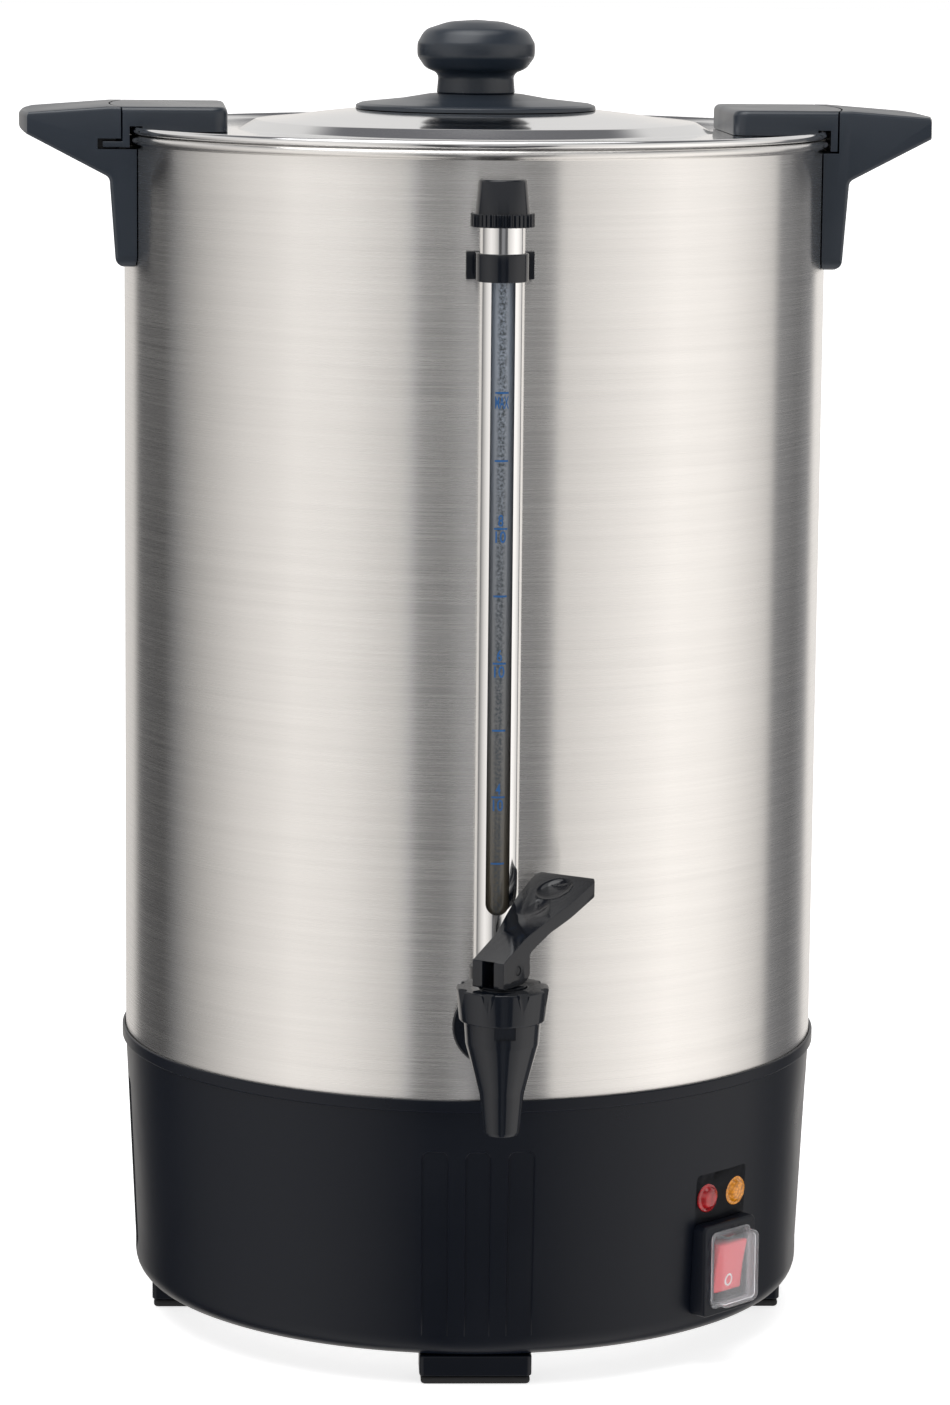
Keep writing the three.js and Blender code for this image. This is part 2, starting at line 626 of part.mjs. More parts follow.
// Lever in its own frame: it leans back along +Y, with the pin along X
function tapLever() {
  const side = new THREE.Shape();
  side.moveTo(-YOKE_FRONT, YOKE_LOW);
  side.lineTo(3.5, YOKE_LOW);
  side.quadraticCurveTo(7.6, YOKE_LOW + 1, 7.6, YOKE_LOW + 6);
  side.quadraticCurveTo(7.4, YOKE_LOW + 10.5, 9.5, YOKE_LOW + 13.4);
  side.lineTo(18, YOKE_LOW + 17.3);
  side.lineTo(46, YOKE_LOW + 28);
  side.quadraticCurveTo(47.6, YOKE_LOW + 31, 45.6, YOKE_LOW + 33.3);
  side.lineTo(28.6, YOKE_LOW + 26.6);
  side.lineTo(18, YOKE_LOW + 22.7);
  side.lineTo(-YOKE_FRONT, YOKE_LOW + 10.2);
  const slab = raised(side, -14, 14, 0, 3).rotate([90, 0, 90]);
  const plan = new THREE.Shape();
  const half = [[YOKE_W / 2, -20], [YOKE_W / 2, 5], [7.6, 9], [10, 18], [11.8, 28.6], [13.2, 43]];
  plan.moveTo(...half[0]);
  half.slice(1).forEach(([x, y]) => plan.lineTo(x, y));
  plan.quadraticCurveTo(13, 47.5, 9, 48);
  plan.lineTo(-9, 48);
  plan.quadraticCurveTo(-13, 47.5, -13.2, 43);
  [...half].reverse().slice(1).forEach(([x, y]) => plan.lineTo(-x, y));
  let body = slab.intersect(raised(plan, YOKE_LOW - 5, YOKE_LOW + 60, 0, 3));
  body = body.subtract(block(-SLOT_GAP / 2, SLOT_GAP / 2, -20, 5.6, YOKE_LOW - 5, PIN_Z + 4.6));
  return body.subtract(bar(1.8, -10, 10, 16, 'x').translate([0, 0, PIN_Z]));
}

function leverPin() {
  return bar(1.5, -YOKE_W / 2 + 0.2, YOKE_W / 2 - 0.2, 16, 'x').translate([0, 0, PIN_Z]);
}

// Percolator: bell-footed pump tube, ground-coffee basket on its collar, spreader on top
function pumpTube() {
  let body = turned([
    v2(30, FLOOR + GAP), v2(30, FLOOR + 2.5), v2(9, FLOOR + 11), v2(6, FLOOR + 15), v2(6, 326),
    v2(9, 327.5), v2(9, 329), v2(6, 329), v2(6, 452), v2(5, 452), v2(5, FLOOR + 15),
    v2(7.5, FLOOR + 10), v2(28.5, FLOOR + 1.6), v2(28.5, FLOOR + GAP),
  ], SMALL);
  for (const angle of [0, 60, 120]) {
    body = body.subtract(block(-40, 40, -4, 4, FLOOR - 1, FLOOR + 1.4).rotate([0, 0, angle]));
  }
  return body;
}

function coffeeBasket() {
  return turned([
    v2(6.4, 329.3), v2(93, 329.3), v2(96, 332), v2(98, 436), v2(100, 436), v2(100, 437), v2(97, 437),
    v2(95, 332.8), v2(92.6, 330.5), v2(7.4, 330.5), v2(7.4, 440), v2(6.4, 440),
  ], 28);
}

function basketLid() {
  return turned([
    v2(8.2, 441), v2(80, 441), v2(84, 437.4), v2(101, 437.4), v2(101, 438.4), v2(84.6, 438.4),
    v2(80.6, 442), v2(8.2, 442),
  ], 28);
}

// Base, its controls and what stands on its plate
add(base, 'base_housing', baseHousing(), blackPlastic);
add(base, 'base_plate', basePlate(), steel);
['back', 'left', 'front', 'right'].forEach((where, i) => {
  add(base, `foot_${where}`, foot(), blackPlastic).rotation.z = i * Math.PI / 2;
  add(base, `foot_pad_${where}`, footPad(), rubber).rotation.z = i * Math.PI / 2;
});
add(base, 'cord_gland', cordGland(), rubber);
add(base, 'terminal_block', terminalBlock(), { color: 0xe8e4d8, roughness: 0.6, metalness: 0 });
const control = new THREE.Group();
control.rotation.z = THREE.MathUtils.degToRad(180 + CONTROL_ANGLE);
for (const [name, x] of Object.entries(LAMPS)) {
  const look = { color: name === 'lamp_red' ? 0xb4161c : 0xc47a10, roughness: 0.15, metalness: 0 };
  add(control, name, lamp(), look).position.x = x;
}
add(control, 'switch_frame', switchFrame(), blackPlastic);
add(control, 'switch_body', switchBody(), blackPlastic);
add(control, 'switch_rocker', switchRocker(), { color: 0xc2161d, roughness: 0.25, metalness: 0 });
add(control, 'switch_boot', switchBoot(), silicone);
base.add(control);
base.rotation.z = BASE_TURN;
urn.add(base);

// Heater and safety switches under the tank's floor
add(urn, 'tank_shell', tankShell(), steel);
add(urn, 'tie_rod', tieRod(), steel);
add(urn, 'tie_nut', tieNut(), steel);
add(urn, 'heater_plate', heaterPlate(), { color: 0xb8babd, roughness: 0.45, metalness: 1 });
add(urn, 'heating_element', heatingElement(), { color: 0x6b675f, roughness: 0.6, metalness: 1 });
add(urn, 'thermostat', discSwitch(), { color: 0x9a5b2c, roughness: 0.6, metalness: 0 }).position.x = -32;
add(urn, 'thermal_cutout', discSwitch(), { color: 0x2b2b2b, roughness: 0.6, metalness: 0 }).position.x = 32;

// Handles, each fixed by two screws from inside the tank
for (const [where, turn] of [['right', 0], ['left', Math.PI]]) {
  add(urn, `handle_${where}`, handle(), blackPlastic).rotation.z = turn;
  HANDLE_SCREWS.forEach((z, i) => {
    const row = i === 0 ? 'upper' : 'lower';
    const screw = add(urn, `handle_screw_${where}_${row}`, handleScrew(SCREW_REACH[i]), steel);
    screw.rotation.z = turn;
    screw.position.z = z;
  });
}

// Sight gauge
add(urn, 'gauge_shank', gaugeShank(), glossPlastic);
add(urn, 'shank_gasket', shankGasket(), rubber);
add(urn, 'shank_nut', shankNut(), steel);
for (const [name, body, look] of [
  ['sight_glass', sightGlass(), { color: 0xdfe6e6, roughness: 0.05, metalness: 0 }],
  ['gauge_seal', gaugeSeal(), rubber],
  ['gauge_guard', gaugeGuard(), mirror],
  ['gauge_cap', gaugeCap(), blackPlastic],
  ['gauge_clip', gaugeClip(), glossPlastic],
]) add(urn, name, body, look).position.y = GAUGE_Y;
add(urn, 'clip_screw', clipScrew(), steel);

// Tap
add(urn, 'tap_body', tapBody(), glossPlastic).position.y = TAP_Y;
add(urn, 'tap_bonnet', tapBonnet(), glossPlastic).position.y = TAP_Y;
add(lever, 'stem_washer', stemWasher(), { color: 0xd8d8d2, roughness: 0.5, metalness: 0 });
add(lever, 'tap_stem', tapStem(), glossPlastic);
add(lever, 'seat_cup', seatCup(), silicone);
add(lever, 'tap_lever', tapLever(), glossPlastic);
add(lever, 'lever_pin', leverPin(), steel);
lever.position.y = TAP_Y;
lever.rotation.z = LEVER_TURN;
urn.add(lever);

// Percolator parts standing in the tank
add(urn, 'pump_tube', pumpTube(), steel);
add(urn, 'coffee_basket', coffeeBasket(), steel);
add(urn, 'basket_lid', basketLid(), steel);

// Lid
add(urn, 'lid', lid(), mirror);
for (const [where, turn] of [['right', 0], ['left', Math.PI]]) {
  add(urn, `lid_ear_${where}`, lidEar(), blackPlastic).rotation.z = turn;
  for (const [end, y] of [['front', -EAR_SCREW[1]], ['back', EAR_SCREW[1]]]) {
    const x = where === 'right' ? EAR_SCREW[0] : -EAR_SCREW[0];
    add(urn, `ear_screw_${where}_${end}`, earScrew(), steel).position.set(x, y, 0);
  }
}
add(urn, 'knob_base', knobBase(), blackPlastic);
add(urn, 'lid_knob', lidKnob(), blackPlastic);
add(urn, 'knob_screw', knobScrew(), steel);

urn.position.y = (FRONT_REACH - BACK_REACH) / 2;

export default urn;
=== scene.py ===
"""Electric hot-drinks urn of about 16 litres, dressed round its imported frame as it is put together."""
import math

import bmesh
import bpy
from mathutils import Matrix, Vector


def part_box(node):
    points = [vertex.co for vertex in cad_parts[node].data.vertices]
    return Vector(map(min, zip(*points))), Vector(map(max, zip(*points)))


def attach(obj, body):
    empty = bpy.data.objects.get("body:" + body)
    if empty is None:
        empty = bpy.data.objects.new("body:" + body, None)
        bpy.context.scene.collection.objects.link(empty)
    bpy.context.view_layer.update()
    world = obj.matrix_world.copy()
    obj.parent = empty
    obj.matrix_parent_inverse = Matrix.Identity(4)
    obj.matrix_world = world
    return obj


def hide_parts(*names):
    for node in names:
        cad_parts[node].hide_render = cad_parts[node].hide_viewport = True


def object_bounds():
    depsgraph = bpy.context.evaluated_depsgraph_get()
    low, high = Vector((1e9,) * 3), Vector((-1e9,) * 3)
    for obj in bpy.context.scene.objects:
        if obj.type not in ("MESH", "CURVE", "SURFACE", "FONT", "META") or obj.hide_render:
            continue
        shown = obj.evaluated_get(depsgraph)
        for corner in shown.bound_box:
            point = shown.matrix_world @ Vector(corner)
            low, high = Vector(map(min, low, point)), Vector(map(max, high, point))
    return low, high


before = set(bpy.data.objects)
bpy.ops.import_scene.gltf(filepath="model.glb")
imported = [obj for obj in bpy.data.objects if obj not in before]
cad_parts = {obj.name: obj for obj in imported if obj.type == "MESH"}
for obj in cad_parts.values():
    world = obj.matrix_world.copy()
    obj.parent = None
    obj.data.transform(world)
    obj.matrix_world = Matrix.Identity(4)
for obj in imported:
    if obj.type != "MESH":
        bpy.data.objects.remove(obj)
cad_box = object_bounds()

# ---- Base housing ---------------------------------------------------------------------------
# One drum-shaped moulding in black polypropylene. Its lip takes the tank's skirt, a shallow
# recess holds the lamps, and three shallow flutes run down to each foot. Outlines here and in
# the sections below are in millimetres from the urn's own axis, and piece() turns them to metres.
MM = 0.001
tank_low, tank_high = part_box("tank_shell")
AXIS = Vector(((tank_low.x + tank_high.x) / 2, (tank_low.y + tank_high.y) / 2, 0))
BASE_TURN = -1.9
BASE_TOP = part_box("base_housing")[1].z / MM
BASE_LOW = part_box("base_housing")[0].z / MM
WALL_FOOT_R = 136.6
WALL_TOP_R = 140.7
WALL_TOP = 111.6
WALL_LOW = 22
LIP_R = 142.2
WALL_ROUND = 10
FLUTE_TOP = 96
FLUTE_DEPTH = 0.8
FLUTE_CORNER = 3
FLUTES = ((-6.9, 2.1), (0, 2.0), (6.9, 2.1))       # middle and half width, in degrees
CONTROL_TURN = 225
PANEL_TURN = BASE_TURN + CONTROL_TURN
PANEL_OUT = 137.4
SWITCH_Z = 40
LAMP_Z = 68.5
LAMP_X = 8.3


def rounded(corners, closed=True):
    """An outline of (x, y, radius) corners, each turned into an arc of that radius."""
    points = []
    for i, (x, y, radius) in enumerate(corners):
        here = Vector((x, y))
        if radius == 0 or (not closed and i in (0, len(corners) - 1)):
            points.append(here)
            continue
        back = Vector(corners[i - 1][:2]) - here
        on = Vector(corners[(i + 1) % len(corners)][:2]) - here
        half = back.angle(on) / 2
        reach = min(radius / math.tan(half), 0.49 * back.length, 0.49 * on.length)
        middle = here + (back.normalized() + on.normalized()).normalized() * (reach / math.cos(half))
        start = here + back.normalized() * reach - middle
        end = here + on.normalized() * reach - middle
        sweep = math.atan2(start.x * end.y - start.y * end.x, start.dot(end))
        steps = max(2, math.ceil(abs(sweep) / math.radians(11)))
        for k in range(steps + 1):
            points.append(middle + Matrix.Rotation(sweep * k / steps, 2) @ start)
    return points


def turned(profile, facets=180, angles=None):
    """A solid of revolution about Z, from (radius, height) points that close on themselves or on the axis."""
    angles = angles or [math.tau * i / facets for i in range(facets)]
    count = len(angles)
    blank = bmesh.new()
    rings = []
    for radius, height in profile:
        here = angles if radius > 1e-6 else angles[:1]
        rings.append([blank.verts.new((radius * math.cos(a), radius * math.sin(a), height)) for a in here])
    if len(rings[0]) > 1:
        rings.append(rings[0])
    for low, high in zip(rings, rings[1:]):
        for i in range(count):
            j = (i + 1) % count
            corners = (low[i % len(low)], low[j % len(low)], high[j % len(high)], high[i % len(high)])
            corners = list(dict.fromkeys(corners))
            if len(corners) > 2:
                blank.faces.new(corners)
    return blank


def filled(curve):
    """The faces of a filled curve, which is used up."""
    holder = bpy.data.objects.new(curve.name, curve)
    mesh = bpy.data.meshes.new_from_object(holder)
    blank = bmesh.new()
    blank.from_mesh(mesh)
    bpy.data.objects.remove(holder)
    bpy.data.curves.remove(curve)
    bpy.data.meshes.remove(mesh)
    return blank


def raised(outline, low, high, rounding=0.0):
    """A flat outline raised between two heights, with its top and bottom edges rounded."""
    curve = bpy.data.curves.new("outline", "CURVE")
    curve.dimensions = "2D"
    curve.fill_mode = "BOTH"
    curve.extrude = (high - low) / 2 - rounding
    curve.bevel_depth = rounding
    curve.offset = -rounding
    curve.bevel_resolution = 3
    spline = curve.splines.new("POLY")
    spline.points.add(len(outline) - 1)
    for point, (x, y) in zip(spline.points, outline):
        point.co = (x, y, 0, 1)
    spline.use_cyclic_u = True
    blank = filled(curve)
    bmesh.ops.remove_doubles(blank, verts=blank.verts, dist=1e-4)
    bmesh.ops.recalc_face_normals(blank, faces=blank.faces)
    return moved(blank, Matrix.Translation((0, 0, (low + high) / 2)))


def moved(blank, *steps):
    """The blank after each matrix in turn."""
    for step in steps:
        blank.transform(step)
    return blank


def spun(degrees, axis="Z"):
    return Matrix.Rotation(math.radians(degrees), 4, axis)


def shifted(x, y, z):
    return Matrix.Translation((x, y, z))


def rectangle(x0, x1, y0, y1, radius=0.0):
    return rounded([(x0, y0, radius), (x1, y0, radius), (x1, y1, radius), (x0, y1, radius)])


def rod(radius, low, high, facets=48):
    return turned([(0, low), (radius, low), (radius, high), (0, high)], facets)


def combined(first, second, operation="DIFFERENCE"):
    """Two closed blanks made into one, by cutting the second away, joining it or keeping what they share."""
    holders = []
    for blank in (first, second):
        bmesh.ops.recalc_face_normals(blank, faces=blank.faces)
        mesh = bpy.data.meshes.new("blank")
        blank.to_mesh(mesh)
        blank.free()
        holders.append(bpy.data.objects.new("blank", mesh))
        bpy.context.scene.collection.objects.link(holders[-1])
    cut = holders[0].modifiers.new("cut", "BOOLEAN")
    cut.operation = operation
    cut.object = holders[1]
    cut.solver = "MANIFOLD"
    made = bmesh.new()
    made.from_object(holders[0], bpy.context.evaluated_depsgraph_get())
    for holder in holders:
        mesh = holder.data
        bpy.data.objects.remove(holder)
        bpy.data.meshes.remove(mesh)
    return made


def piece(name, blank, material, body, replaced=(), turn=0.0, sharp=30):
    """A finished piece: placed round the urn's axis, shaded, given its material and fixed to its body."""
    bmesh.ops.recalc_face_normals(blank, faces=blank.faces)
    mesh = bpy.data.meshes.new(name)
    blank.to_mesh(mesh)
    blank.free()
    mesh.transform(Matrix.Translation(AXIS) @ spun(turn) @ Matrix.Scale(MM, 4))
    mesh.shade_smooth()
    mesh.set_sharp_from_angle(angle=math.radians(sharp))
    mesh.materials.append(material)
    made = bpy.data.objects.new(name, mesh)
    bpy.context.scene.collection.objects.link(made)
    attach(made, body)
    if replaced:
        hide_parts(*replaced)
    return made


def effect(name, inputs, outputs):
    """An empty shader node group with numbers in and out, and its input and output nodes."""
    group = bpy.data.node_groups.new(name, "ShaderNodeTree")
    for label, value in inputs.items():
        socket = group.interface.new_socket(name=label, in_out="INPUT", socket_type="NodeSocketFloat")
        socket.default_value = value
    for label in outputs:
        group.interface.new_socket(name=label, in_out="OUTPUT", socket_type="NodeSocketFloat")
    return group, group.nodes.new("NodeGroupInput"), group.nodes.new("NodeGroupOutput")


def node(tree, kind, links=None, **settings):
    """A shader node with its settings, and its inputs linked or set by name or number."""
    made = tree.nodes.new(kind)
    for key, value in settings.items():
        setattr(made, key, value)
    for socket, value in (links or {}).items():
        if isinstance(value, bpy.types.NodeSocket):
            tree.links.new(value, made.inputs[socket])
        else:
            made.inputs[socket].default_value = value
    return made


def shaded(name, even):
    """A new material, with what is the same all over set on the shader's own sockets."""
    material = bpy.data.materials.new(name)
    material.use_nodes = True
    shader = material.node_tree.nodes["Principled BSDF"]
    for socket, value in even.items():
        shader.inputs[socket].default_value = value
    return material, material.node_tree, shader


def tinted(tree, mask, colour, first=1.0, last=1.0):
    """The colour times the first share where the mask is 0, and times the last where it is 1."""
    ends = [(*[min(c * share, 1) for c in colour], 1) for share in (first, last)]
    return node(tree, "ShaderNodeMixRGB", {"Fac": mask, "Color1": ends[0], "Color2": ends[1]})


def ranged(tree, mask, low, high, start=0.0, end=1.0):
    """The mask from start to end, spread from low to high."""
    return node(tree, "ShaderNodeMapRange", {"Value": mask, "From Min": start, "From Max": end,
                                             "To Min": low, "To Max": high})


def wired(tree, shader, tint, gloss, height, strength, depth):
    """Tint, gloss and a bump of that height, linked to the shader."""
    bump = node(tree, "ShaderNodeBump", {"Height": height, "Strength": strength, "Distance": depth})
    for socket, made in (("Base Color", tint), ("Roughness", gloss), ("Normal", bump)):
        tree.links.new(made.outputs[0], shader.inputs[socket])


def fine_texture():
    """Spark-eroded mould texture: a fine height, and a slow mottle of how it takes the light."""
    group, given, out = effect("mould_texture", {"Grain per metre": 1400.0, "Mottle per metre": 16.0},
                               ("Height", "Mottle"))
    place = node(group, "ShaderNodeTexCoord").outputs["Object"]
    grain = node(group, "ShaderNodeTexNoise", {"Vector": place, "Scale": given.outputs[0], "Detail": 3.0})
    mottle = node(group, "ShaderNodeTexNoise", {"Vector": place, "Scale": given.outputs[1], "Detail": 5.0,
                                                "Distortion": 0.6})
    group.links.new(grain.outputs["Fac"], out.inputs["Height"])
    group.links.new(mottle.outputs["Fac"], out.inputs["Mottle"])
    return group


MOULD_TEXTURE = fine_texture()


def moulded(name, colour, roughness, grain=1400.0, depth=0.00002, spread=0.12, specular=0.5):
    """Moulded plastic: an even colour that the mould's texture breaks up, and a gloss that drifts slowly."""
    material, tree, shader = shaded(name, {"Specular IOR Level": specular})
    texture = node(tree, "ShaderNodeGroup", {"Grain per metre": grain}, node_tree=MOULD_TEXTURE)
    mottle = texture.outputs["Mottle"]
    gloss = ranged(tree, mottle, roughness - spread / 2, roughness + spread / 2, 0.3, 0.7)
    tint = tinted(tree, mottle, colour, 0.82, 1.18)
    wired(tree, shader, tint, gloss, texture.outputs["Height"], 0.5, depth)
    return material


def flute_depth(angle, height):
    """How far the base wall is let in at that bearing from the front and height."""
    if height < WALL_ROUND + BASE_LOW:
        return 0.0
    best = 0.0
    for foot in (0, 90, 180, 270):
        for middle, half in FLUTES:
            off = abs((angle - foot - middle + 180) % 360 - 180) - half
            across = off * math.radians(1) * WALL_TOP_R
            above = height - FLUTE_TOP
            corner = math.hypot(max(across + FLUTE_CORNER, 0), max(above + FLUTE_CORNER, 0)) - FLUTE_CORNER
            inside = -max(corner, min(across, above)) if max(across, above) < 0 or corner > 0 else -corner
            share = min(max(inside / 0.5 + 0.5, 0), 1)
            best = max(best, share * share * (3 - 2 * share))
    return best * FLUTE_DEPTH


def base_wall():
    """The whole moulding as a turned wall, with closer bearings and heights where the flutes end."""
    bearings = {2.0 * i for i in range(180)}
    for foot in (0, 90, 180, 270):
        for middle, half in FLUTES:
            bearings |= {round(foot + middle + side * half + 0.09 * k, 3) % 360
                         for side in (-1, 1) for k in range(-12, 13)}
    bearings = sorted(bearings)
    foot = rounded([(100, BASE_LOW, 0), (WALL_FOOT_R, BASE_LOW, WALL_ROUND), (WALL_FOOT_R + 1, 50, 0)],
                   closed=False)[1:-1]
    low = foot[-1].y
    close = FLUTE_TOP - FLUTE_CORNER - 1
    lines = [low + (close - low) * k / 12 for k in range(1, 13)] + [close + 0.3 * k for k in range(1, 17)]
    wall = [(WALL_FOOT_R + (WALL_TOP_R - WALL_FOOT_R) * (z - low) / (WALL_TOP - low), z) for z in lines]
    lip = rounded([(WALL_TOP_R, WALL_TOP, 0.6), (LIP_R, WALL_TOP + 0.9, 0.5), (LIP_R, BASE_TOP, 0.7),
                   (141.1, BASE_TOP, 0.2)])[:-3]
    inside = [(141.1, 113.6), (138.2, 113.6), (134.1, 26), (131, 19), (126, 17.3), (102, 17.3),
              (102, BASE_LOW + 2.8), (112.3, BASE_LOW + 2.8), (112.3, BASE_LOW)]
    profile = [*foot, *wall, *lip, *inside]
    blank = turned(profile, angles=[math.radians(b - 90) for b in bearings])
    for vert in blank.verts:
        radius = math.hypot(vert.co.x, vert.co.y)
        if radius > WALL_FOOT_R - 3 and vert.co.z < BASE_TOP - 6:
            let_in = flute_depth(math.degrees(math.atan2(vert.co.x, -vert.co.y)), vert.co.z)
            vert.co.xy *= (radius - let_in) / radius
    return blank


def control_holes():
    """The lamps' recess and holes, and the hole for the switch, in their place round the wall."""
    lie = spun(-90, "X")
    recess = moved(raised(rectangle(-14.9, 14.9, -78.4, -44, 2), PANEL_OUT, 160), lie)
    holes = [moved(raised(rectangle(-11.3, 11.3, -SWITCH_Z - 14.3, -SWITCH_Z + 14.3), 120, 150), lie)]
    holes += [moved(rod(4.3, 120, 150, 32), lie, shifted(x, 0, LAMP_Z)) for x in (LAMP_X, -LAMP_X)]
    for hole in holes:
        recess = combined(recess, hole, "UNION")
    return moved(recess, spun(CONTROL_TURN))


base_plastic = moulded("base_plastic", (0.0028, 0.0045, 0.0092), 0.33, grain=1100.0, specular=0.24)
cord_hole = moved(rod(6.3, 120, 150), spun(-90, "X"), shifted(0, 0, 40))
housing = combined(combined(base_wall(), control_holes()), cord_hole)
piece("base_moulding", housing, base_plastic, "urn", ["base_housing"], BASE_TURN, sharp=24)

# ---- Feet and bottom plate ------------------------------------------------------------------
# Four plastic feet clipped under the base, each on a thin rubber pad, and a pressed plate of
# zinc-plated steel that closes the base from below.
FOOT_HALF = 22
FOOT_IN = 112.5
FOOT_OUT = 129.5
PAD_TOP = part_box("foot_pad_front")[1].z / MM


def dress(material, *names):
    """Gives CAD nodes whose shape is already right their material."""
    for name in names:
        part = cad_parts[name]
        if part.material_slots:
            for place in part.material_slots:
                place.material = material
        else:
            part.data.materials.append(material)


def sheet_metal(name, colour, roughness, scale):
    """Plated sheet: a clear metal with the plating's cloudy patches and light handling marks."""
    material, tree, shader = shaded(name, {"Metallic": 1.0})
    place = node(tree, "ShaderNodeTexCoord").outputs["Object"]
    cloud = node(tree, "ShaderNodeTexNoise", {"Vector": place, "Scale": scale, "Detail": 6.0}).outputs["Fac"]
    gloss = ranged(tree, cloud, roughness - 0.1, roughness + 0.1)
    wired(tree, shader, tinted(tree, cloud, colour, 0.85), gloss, cloud, 0.2, 0.0001)
    return material


foot_rubber = moulded("foot_rubber", (0.02, 0.02, 0.021), 0.75, grain=900.0, depth=0.00005, spread=0.2,
                      specular=0.3)
zinc_steel = sheet_metal("zinc_steel", (0.62, 0.63, 0.65), 0.38, 160.0)
for turn, where in ((0, "back"), (90, "left"), (180, "front"), (270, "right")):
    sole = rectangle(-FOOT_HALF, FOOT_HALF, FOOT_IN, FOOT_OUT, 2.2)
    foot = raised(sole, PAD_TOP + 0.3, BASE_LOW - 0.3, 0.8)
    piece(f"moulded_foot_{where}", foot, base_plastic, "urn", [f"foot_{where}"],
          BASE_TURN + turn)
    inset = rectangle(0.6 - FOOT_HALF, FOOT_HALF - 0.6, FOOT_IN + 0.6, FOOT_OUT - 0.6, 2)
    pad = raised(inset, 0, PAD_TOP, 1.2)
    piece(f"rubber_pad_{where}", pad, foot_rubber, "urn", [f"foot_pad_{where}"],
          BASE_TURN + turn)
dress(zinc_steel, "base_plate")

# ---- Cord gland and terminals ---------------------------------------------------------------
# A rubber gland pushed into the back of the base, left open, and the terminal block inside it.
GLAND_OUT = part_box("cord_gland")[1].y / MM - AXIS.y / MM
insulator = moulded("insulator", (0.56, 0.52, 0.42), 0.55, grain=700.0)
collar = rounded([(3.6, 0, 0), (6, 0, 0.4), (6, 10, 0), (9, 10, 0.8), (8.4, 14, 1.5), (5, 16, 0.8),
                  (3.6, 16, 0.6)])
gland = moved(turned(collar, 64), spun(-90, "X"), shifted(0, GLAND_OUT - 16, 40))
piece("rubber_gland", gland, foot_rubber, "urn", ["cord_gland"], BASE_TURN)
dress(insulator, "terminal_block", "thermostat", "thermal_cutout")

# ---- Pilot lamps ----------------------------------------------------------------------------
# Two neon lamps snapped into the recess, each with a domed plastic lens: clear red on one, and
# amber with a prismatic inner face on the other.
LENS_R = 5.8


def lens(name, colour, glow, prisms):
    """Clear tinted plastic with prisms or faint rings moulded inside, and a painted glow in its tint for a
    bright inner cup.
    """
    # The emission is painted glow: the lens shines a little by itself, though the lamp is not lit.
    material, tree, shader = shaded(name, {"Transmission Weight": 0.35, "Coat Weight": 0.6,
                                           "Emission Strength": glow})
    place = node(tree, "ShaderNodeTexCoord").outputs["Object"]
    cells = node(tree, "ShaderNodeTexVoronoi", {"Vector": place, "Scale": prisms}).outputs["Distance"]
    tint = tinted(tree, cells, colour, 1.5, 0.5)
    wired(tree, shader, tint, ranged(tree, cells, 0.08, 0.2), cells, 0.35, 0.0003)
    tree.links.new(tint.outputs[0], shader.inputs["Emission Color"])
    return material


LENS_PROFILE = rounded([(0, 128, 0), (4, 128, 0), (4, PANEL_OUT + 0.3, 0), (LENS_R, PANEL_OUT + 0.3, 0.1),
                        (LENS_R, PANEL_OUT + 1.3, 0.4), (4.6, PANEL_OUT + 1.6, 0.3),
                        (3.4, PANEL_OUT + 3.3, 2.4), (0, PANEL_OUT + 3.6, 0)], closed=False)
# The third value of each lens is the strength of its painted glow.
red_lens = lens("red_lens", (0.36, 0.008, 0.012), 0.12, 260.0)
amber_lens = lens("amber_lens", (0.72, 0.25, 0.012), 0.2, 900.0)
for name, x, material in (("red", LAMP_X, red_lens), ("amber", -LAMP_X, amber_lens)):
    dome = moved(turned(LENS_PROFILE, 64), spun(-90, "X"), shifted(x, 0, LAMP_Z))
    piece(f"{name}_lamp_lens", dome, material, "urn", [f"lamp_{name}"], PANEL_TURN)

# ---- Switch ---------------------------------------------------------------------------------
# A two-position rocker in a black body, clipped into a raised surround and covered by a clear
# soft boot against splashes. The rocker is red, with a white ring for off at its lower end.
FACE_OUT = 143.4
ROCKER_OUT = 139.6


def clear_plastic(name, colour, roughness, clear=1.0, bend=1.42):
    """Clear moulded plastic or glass, with faint ripples and finger marks in its gloss."""
    material, tree, shader = shaded(name, {"Transmission Weight": clear, "IOR": bend})
    texture = node(tree, "ShaderNodeGroup", {"Mottle per metre": 60.0}, node_tree=MOULD_TEXTURE)
    mottle = texture.outputs["Mottle"]
    gloss = ranged(tree, mottle, roughness * 0.6, roughness * 1.4)
    wired(tree, shader, tinted(tree, mottle, colour, 0.97), gloss, mottle, 0.1, 0.0002)
    return material


def facing_out(outline, low, high, rounding=0.0):
    """A flat outline about the switch's middle, raised outwards between two distances from the axis."""
    return moved(raised(outline, low, high, rounding), spun(-90, "X"), shifted(0, 0, SWITCH_Z))


surround = facing_out(rectangle(-15.5, 15.5, -18.5, 18.5, 2.5), 130, FACE_OUT, 1.0)
surround = combined(surround, facing_out(rectangle(-11.3, 11.3, -14.3, 14.3), 120, 150))
wall = rod(WALL_TOP_R + 0.3, 0, 100, 256)
for vert in wall.verts:
    slope_r = WALL_FOOT_R + (WALL_TOP_R - WALL_FOOT_R) * (vert.co.z - WALL_LOW) / (WALL_TOP - WALL_LOW) + 0.3
    vert.co.xy *= slope_r / (WALL_TOP_R + 0.3)
piece("switch_surround", combined(surround, wall), base_plastic, "urn", ["switch_frame"],
      PANEL_TURN)
dress(base_plastic, "switch_body")

